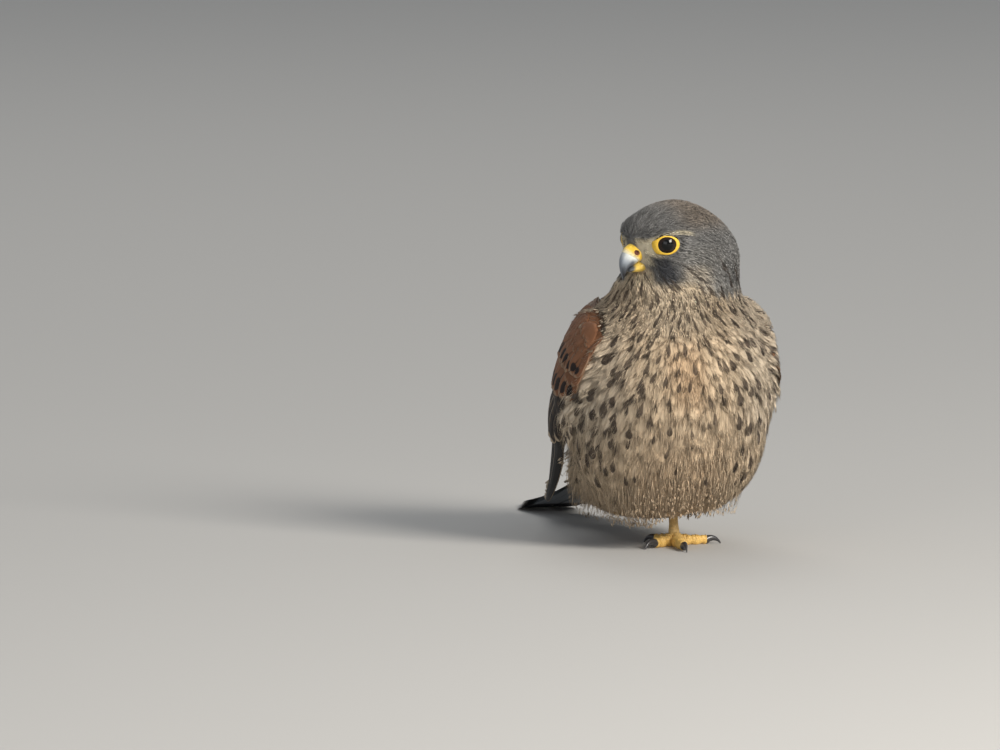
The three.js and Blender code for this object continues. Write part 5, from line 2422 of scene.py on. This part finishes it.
class Value:
    """A shader number that takes part in plain expressions, each operator one Math node."""

    __add__ = operator("ADD")
    __radd__ = operator("ADD", swapped=True)
    __sub__ = operator("SUBTRACT")
    __rsub__ = operator("SUBTRACT", swapped=True)
    __mul__ = operator("MULTIPLY")
    __rmul__ = operator("MULTIPLY", swapped=True)
    __truediv__ = operator("DIVIDE")
    __rtruediv__ = operator("DIVIDE", swapped=True)
    __pow__ = operator("POWER")
    __abs__ = operator("ABSOLUTE")
    least = operator("MINIMUM")
    most = operator("MAXIMUM")
    sine = operator("SINE")

    def __init__(self, graph: "Graph", socket: bpy.types.NodeSocket) -> None:
        """Keeps the graph and the socket that gives the number."""
        self.graph = graph
        self.socket = socket

    def ramp(self, low: float, high: float) -> "Value":
        """The share of the way from low to high, held between 0 and 1 and smoothed at both ends.

        Args:
            low: the value that gives 0.
            high: the value that gives 1.

        Returns:
            The smoothed share.
        """
        made = self.graph.node(
            "ShaderNodeMapRange",
            {"interpolation_type": "SMOOTHSTEP"},
            {"Value": self, "From Min": min(low, high), "From Max": max(low, high)},
        )
        share = Value(self.graph, made.outputs[0])
        return share if high > low else 1.0 - share


class Graph:
    """A material's node tree, built from plain calls."""

    def __init__(self, name: str) -> None:
        """Makes an empty material with a Principled shader and an output.

        Args:
            name: its name.
        """
        self.material = bpy.data.materials.new(name)
        self.material.use_nodes = True
        self.tree = self.material.node_tree
        self.tree.nodes.clear()
        self.shader = self.node("ShaderNodeBsdfPrincipled", {}, {})
        self.node("ShaderNodeOutputMaterial", {}, {"Surface": self.shader.outputs[0]})

    def node(self, kind: str, settings: dict[str, object], inputs: dict[object, object]) -> bpy.types.Node:
        """Adds a node, sets it first and then fills its inputs.

        Args:
            kind: the node's type.
            settings: its own settings by name.
            inputs: numbers, colours, Values or sockets by input name or place.

        Returns:
            The node.
        """
        made = self.tree.nodes.new(kind)
        for key, value in settings.items():
            setattr(made, key, value)
        for key, value in inputs.items():
            self.plug(made.inputs[key], value)
        return made

    def plug(self, socket: bpy.types.NodeSocket, value: object) -> None:
        """Links a Value or a socket to an input, or sets it to a number or colour.

        Args:
            socket: the input.
            value: what it is given.
        """
        if isinstance(value, Value):
            value = value.socket
        if isinstance(value, bpy.types.NodeSocket):
            self.tree.links.new(value, socket)
        elif isinstance(value, (tuple, list)) and len(value) == 3 and socket.type == "RGBA":
            socket.default_value = (*value, 1.0)
        else:
            socket.default_value = value

    def colour(self, name: str) -> bpy.types.NodeSocket:
        """A colour attribute of the mesh."""
        return self.node("ShaderNodeAttribute", {"attribute_name": name}, {}).outputs["Color"]

    def split(self, vector: bpy.types.NodeSocket) -> tuple[Value, Value, Value]:
        """A vector's three numbers."""
        parts = self.node("ShaderNodeSeparateXYZ", {}, {0: vector})
        return tuple(Value(self, parts.outputs[i]) for i in range(3))

    def feather(self) -> tuple[Value, Value]:
        """Shares along a feather and across it, from its own UV map.

        Returns:
            The two shares.
        """
        spot = self.node("ShaderNodeUVMap", {"uv_map": "Feather"}, {})
        along, across, _ = self.split(spot.outputs[0])
        return along, across

    def place(self) -> bpy.types.NodeSocket:
        """Object coordinates."""
        return self.node("ShaderNodeTexCoord", {}, {}).outputs["Object"]

    def noise(self, scale: float, detail: float = 2.0) -> Value:
        """Noise over the object, 0 to 1, with scale in waves a metre."""
        made = self.node("ShaderNodeTexNoise", {}, {"Vector": self.place(), "Scale": scale, "Detail": detail})
        return Value(self, made.outputs[0])

    def cells(self, scale: float) -> Value:
        """Distance from the middle of small cells over the object."""
        made = self.node("ShaderNodeTexVoronoi", {}, {"Vector": self.place(), "Scale": scale})
        return Value(self, made.outputs["Distance"])

    def mix(self, a: object, b: object, share: object) -> bpy.types.NodeSocket:
        """Two colours blended by a share."""
        return self.node("ShaderNodeMix", {"data_type": "RGBA"}, {0: share, 6: a, 7: b}).outputs[2]

    def scaled(self, colour: object, by: Value) -> bpy.types.NodeSocket:
        """A colour times a number."""
        return self.node("ShaderNodeVectorMath", {"operation": "SCALE"}, {0: colour, "Scale": by}).outputs[0]

    def bump(self, height: Value, distance: float, strength: float = 1.0) -> bpy.types.NodeSocket:
        """A normal bumped by a height."""
        made = self.node("ShaderNodeBump", {}, {"Height": height, "Distance": distance, "Strength": strength})
        return made.outputs[0]

    def surface(self, **inputs: object) -> Material:
        """Fills the shader's inputs, named with underscores, and gives the material.

        Returns:
            The material.
        """
        for key, value in inputs.items():
            self.plug(self.shader.inputs[key.replace("_", " ").title().replace("Ior", "IOR")], value)
        return self.material


@dataclass(frozen=True)
class CoatFinish:
    """Loose feathers: the painted colour with crisp dark drops, matt and soft."""

    name: str = "loose_feathers"
    roughness: float = 0.78
    sheen: float = 0.12

    def make(self) -> Material:
        """The finish: a drop's edge is the lesser of (t / 0.62)^0.8 and a quarter circle past 0.62.

        Returns:
            The material.
        """
        g = Graph(self.name)
        along, across, depth = g.split(g.colour("Drop"))
        t = along * 0.5 + 0.5
        head = (t / 0.62).most(0.0) ** 0.8
        foot = (1.0 - ((t - 0.62).most(0.0) / 0.38) ** 2.0).most(0.0) ** 0.5
        edge = head.least(foot)
        drop = (edge - abs(across)).ramp(-0.12, 0.18) * edge.ramp(0.0, 0.15)
        shaft = (0.0 - abs(across)).ramp(-0.34, -0.14) * along.ramp(-2.8, -1.3) * along.ramp(-0.2, -0.9)
        dark = drop.most(shaft * 0.6) * depth
        share, side = g.feather()
        off = abs(side - 0.5)
        barbs = (share * 150.0 - off * 80.0 + g.noise(300.0) * 6.0).sine()
        base = g.scaled(g.colour("Tint"), barbs * 0.05 + g.noise(260.0) * 0.3 + 0.85)
        base = g.mix(base, PAINT.dark, dark)
        return g.surface(base_color=base, roughness=self.roughness, specular_ior_level=0.22,
                         sheen_weight=self.sheen, sheen_roughness=0.5, normal=g.bump(barbs, 0.00007, 0.6))


@dataclass(frozen=True)
class SkinFinish:
    """The skin under the coat, painted dark as the shade between the feathers."""

    name: str = "skin_under_coat"

    def make(self) -> Material:
        """The painted colour with a little mottling.

        Returns:
            The material.
        """
        g = Graph(self.name)
        base = g.scaled(g.colour("Tint"), g.noise(400.0) * 0.5 + 0.75)
        return g.surface(base_color=base, roughness=0.9, specular_ior_level=0.15)


@dataclass(frozen=True)
class VaneFinish:
    """Firm wing feathers: ground colour, a black spot near the tip, pale edges, faint bars, fine barbs."""

    name: str = "wing_vanes"
    roughness: float = 0.6

    def make(self) -> Material:
        """The finish: the spot is an ellipse at 0.8 along, and the fringe runs along the sides and the tip.

        Returns:
            The material.
        """
        g = Graph(self.name)
        along, across = g.feather()
        spot, fringe, bars = g.split(g.colour("Marks"))
        off = abs(across - 0.5)
        wave = (g.noise(420.0) - 0.5) * 0.05
        barbs = ((along * 210.0) - off * 95.0).sine()
        oval = (((along - 0.80) / 0.12) ** 2.0 + ((off + wave) / 0.22) ** 2.0) ** 0.5
        oval = oval.ramp(1.12, 0.86).most((0.0 - off).ramp(-0.05, -0.02) * along.ramp(0.35, 0.7) * 0.8)
        edge = (0.5 - off).least((1.0 - along) * 0.9) + wave * 0.4
        pale = edge.ramp(0.085, 0.045) * along.ramp(0.15, 0.45) * fringe
        bar = (along * 46.0 + off * 5.0).sine().ramp(0.3, 0.7) * off.ramp(0.1, 0.25) * bars
        base = g.scaled(g.colour("Tint"), barbs * 0.08 + g.noise(180.0) * 0.3 + 0.84)
        base = g.mix(base, PAINT.warm, bar * 0.5)
        base = g.mix(base, PAINT.fringe, pale * 0.95)
        base = g.mix(base, (0.012, 0.010, 0.010), oval * spot * 0.96)
        return g.surface(base_color=base, roughness=self.roughness, specular_ior_level=0.15,
                         normal=g.bump(barbs, 0.00006, 0.7))


@dataclass(frozen=True)
class TailFinish:
    """Tail feathers: blue-grey, a broad black band before a white tip, and fine barbs."""

    name: str = "tail_vanes"

    def make(self) -> Material:
        """The finish: the band lies from 0.825 to 0.96 along, and the white beyond it.

        Returns:
            The material.
        """
        g = Graph(self.name)
        along, across = g.feather()
        off = abs(across - 0.5)
        barbs = ((along * 560.0) - off * 190.0).sine()
        wave = (g.noise(300.0) - 0.5) * 0.02
        place = along + off * 0.04 + wave
        base = g.scaled(g.colour("Tint"), barbs * 0.07 + g.noise(120.0) * 0.3 + 0.85)
        base = g.mix(base, (0.012, 0.012, 0.014), place.ramp(0.815, 0.835))
        base = g.mix(base, (0.62, 0.59, 0.55), place.ramp(0.955, 0.965))
        base = g.mix(base, (0.03, 0.03, 0.032), off.ramp(0.018, 0.008) * 0.7)
        return g.surface(base_color=base, roughness=0.58, specular_ior_level=0.3,
                         normal=g.bump(barbs, 0.00006, 0.7))


@dataclass(frozen=True)
class ScaledSkin:
    """Bare yellow skin of feet, lids and cere, with small scales."""

    name: str
    scale: float = 1500.0
    depth: float = 0.0001
    colour: Optional[Colour] = None

    def make(self) -> Material:
        """The painted or constant colour, darker between scales.

        Returns:
            The material.
        """
        g = Graph(self.name)
        cells = g.cells(self.scale)
        base = g.node("ShaderNodeRGB", {}, {}).outputs[0] if self.colour else g.colour("Tint")
        if self.colour:
            base.default_value = (*self.colour, 1.0)
        base = g.scaled(base, g.noise(700.0) * 0.35 + cells * -0.35 + 1.0)
        return g.surface(base_color=base, roughness=cells * 0.15 + 0.42, specular_ior_level=0.45,
                         normal=g.bump(1.0 - cells, self.depth, 0.8))


@dataclass(frozen=True)
class HornFinish:
    """Smooth horn of bill and claws with a soft polish."""

    name: str
    roughness: float = 0.26

    def make(self) -> Material:
        """The painted colour with faint growth lines.

        Returns:
            The material.
        """
        g = Graph(self.name)
        grain = g.noise(900.0, 3.0)
        base = g.scaled(g.colour("Tint"), grain * 0.3 + 0.85)
        return g.surface(base_color=base, roughness=grain * 0.12 + self.roughness, specular_ior_level=0.5,
                         coat_weight=0.35, coat_roughness=0.15, normal=g.bump(grain, 0.00003, 0.5))


@dataclass(frozen=True)
class EyeFinish:
    """A wet eye, almost black, with a clear coat."""

    name: str = "wet_eye"

    def make(self) -> Material:
        """The painted colour under a clear, smooth coat.

        Returns:
            The material.
        """
        g = Graph(self.name)
        base = g.scaled(g.colour("Tint"), g.noise(1500.0) * 0.4 + 0.8)
        return g.surface(base_color=base, roughness=0.1, specular_ior_level=0.12, coat_weight=0.35,
                         coat_roughness=0.02)


@dataclass(frozen=True)
class FloorFinish:
    """The studio's pale matt floor."""

    name: str = "pale_floor"
    colour: Colour = (0.45, 0.44, 0.42)

    def make(self) -> Material:
        """A pale grey with the faintest mottling.

        Returns:
            The material.
        """
        g = Graph(self.name)
        share = g.noise(1.5) * 0.2
        return g.surface(base_color=g.mix(self.colour, (0.43, 0.42, 0.40), share), roughness=0.85)


@dataclass
class Studio:
    """Floor, lights, world and camera."""

    distance: float = 12.0
    lens: float = 864.0
    sensor: float = 36.0
    back: Triple = (-0.340, -0.9345, 0.1045)
    right: Triple = (0.940, -0.342, 0.0)
    aim_right: float = -0.0835
    aim_up: float = 0.085
    floor_radius: float = 30.0
    floor_rings: int = 14
    floor_sides: int = 96

    def floor(self) -> None:
        """A round flat floor, its rings growing with the square of the distance."""
        r = 0.02 + self.floor_radius * np.linspace(0.0, 1.0, self.floor_rings)[:, None] ** 2
        turn = full_turn(self.floor_sides)
        verts = np.stack([r * np.cos(turn), r * np.sin(turn), 0 * r + 0 * turn], -1).reshape(-1, 3)
        tris = ring_tris(self.floor_rings, self.floor_sides)[:, ::-1]
        k = np.arange(1, self.floor_sides - 1)
        cap = np.stack([0 * k, k, k + 1], -1)
        mesh = bpy.data.meshes.new("studio_floor")
        mesh.from_pydata(verts.tolist(), [], np.concatenate([tris, cap]).tolist())
        mesh.shade_smooth()
        mesh.materials.append(FloorFinish().make())
        piece = bpy.data.objects.new("studio_floor", mesh)
        bpy.context.scene.collection.objects.link(piece)

    def light(
        self,
        name: str,
        azimuth: float,
        elevation: float,
        distance: float,
        size: float,
        power: float,
        colour: Colour,
    ) -> None:
        """An area light that looks at the bird.

        Args:
            name: its name.
            azimuth: degrees round the bird from the front, growing to its left.
            elevation: degrees above the floor.
            distance: metres from the bird.
            size: its side in metres.
            power: its watts.
            colour: its colour.
        """
        data = bpy.data.lights.new(name, "AREA")
        data.energy = power
        data.size = size
        data.color = colour
        lamp = bpy.data.objects.new(name, data)
        bpy.context.scene.collection.objects.link(lamp)
        a, e = math.radians(azimuth), math.radians(elevation)
        out = Vector((math.sin(a) * math.cos(e), -math.cos(a) * math.cos(e), math.sin(e)))
        lamp.location = Vector((0.0, 0.0, 0.09)) + out * distance
        lamp.rotation_euler = out.to_track_quat("Z", "Y").to_euler()

    def world(self, strength: float = 0.35) -> None:
        """An even pale world light.

        Args:
            strength: the light's strength.
        """
        world = bpy.data.worlds.new("studio_world")
        world.use_nodes = True
        background = world.node_tree.nodes["Background"]
        background.inputs["Color"].default_value = (0.86, 0.92, 1.0, 1.0)
        background.inputs["Strength"].default_value = strength
        bpy.context.scene.world = world
        bpy.context.scene.view_settings.view_transform = "Standard"

    def camera(self) -> None:
        """A long lens low over the floor that frames the bird as the photograph does."""
        back, right = Vector(self.back).normalized(), Vector(self.right).normalized()
        up = back.cross(right)
        foot = Vector(PLACE.metres(np.zeros(3)))
        target = foot + right * self.aim_right + up * self.aim_up
        data = bpy.data.cameras.new("camera")
        data.lens = self.lens
        data.sensor_width = self.sensor
        data.clip_end = 60.0
        camera = bpy.data.objects.new("camera", data)
        bpy.context.scene.collection.objects.link(camera)
        camera.location = target + back * self.distance
        camera.rotation_euler = back.to_track_quat("Z", "Y").to_euler()
        bpy.context.scene.camera = camera

    def build(self) -> None:
        """Sets up the floor, the lights, the world and the camera."""
        self.floor()
        self.world()
        self.light("key", 25.0, 29.0, 2.6, 1.0, 86.0, (1.0, 0.95, 0.88))
        self.light("fill", -40.0, 7.0, 3.0, 2.2, 26.0, (0.97, 0.98, 1.0))
        self.light("back_light", 165.0, 48.0, 3.0, 1.6, 20.0, (1.0, 0.97, 0.92))
        self.camera()


def main() -> None:
    """Builds the bird from the skin out, then the studio."""
    logging.basicConfig(level=logging.INFO, format="%(message)s")
    yellow = ScaledSkin("yellow_scales").make()
    horn = HornFinish("bill_horn").make()
    Plumage(CoatFinish().make(), SkinFinish().make()).build()
    vanes = VaneFinish().make()
    for side in Side:
        Wing(side).build(vanes)
    Tail().build(TailFinish().make())
    Bill().build(ScaledSkin("cere_wax", 900.0, 0.00004).make(), horn)
    Eyes().build(EyeFinish().make(), ScaledSkin("lid_skin", 2600.0, 0.00006).make())
    Foot().build(yellow, HornFinish("claw_horn", 0.3).make())
    tucked = ScaledSkin("tucked_scales", colour=(0.62, 0.37, 0.10)).make()
    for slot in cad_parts["foot_right"].material_slots:
        slot.material = tucked
    Studio().build()


if __name__ == "__main__":
    main()
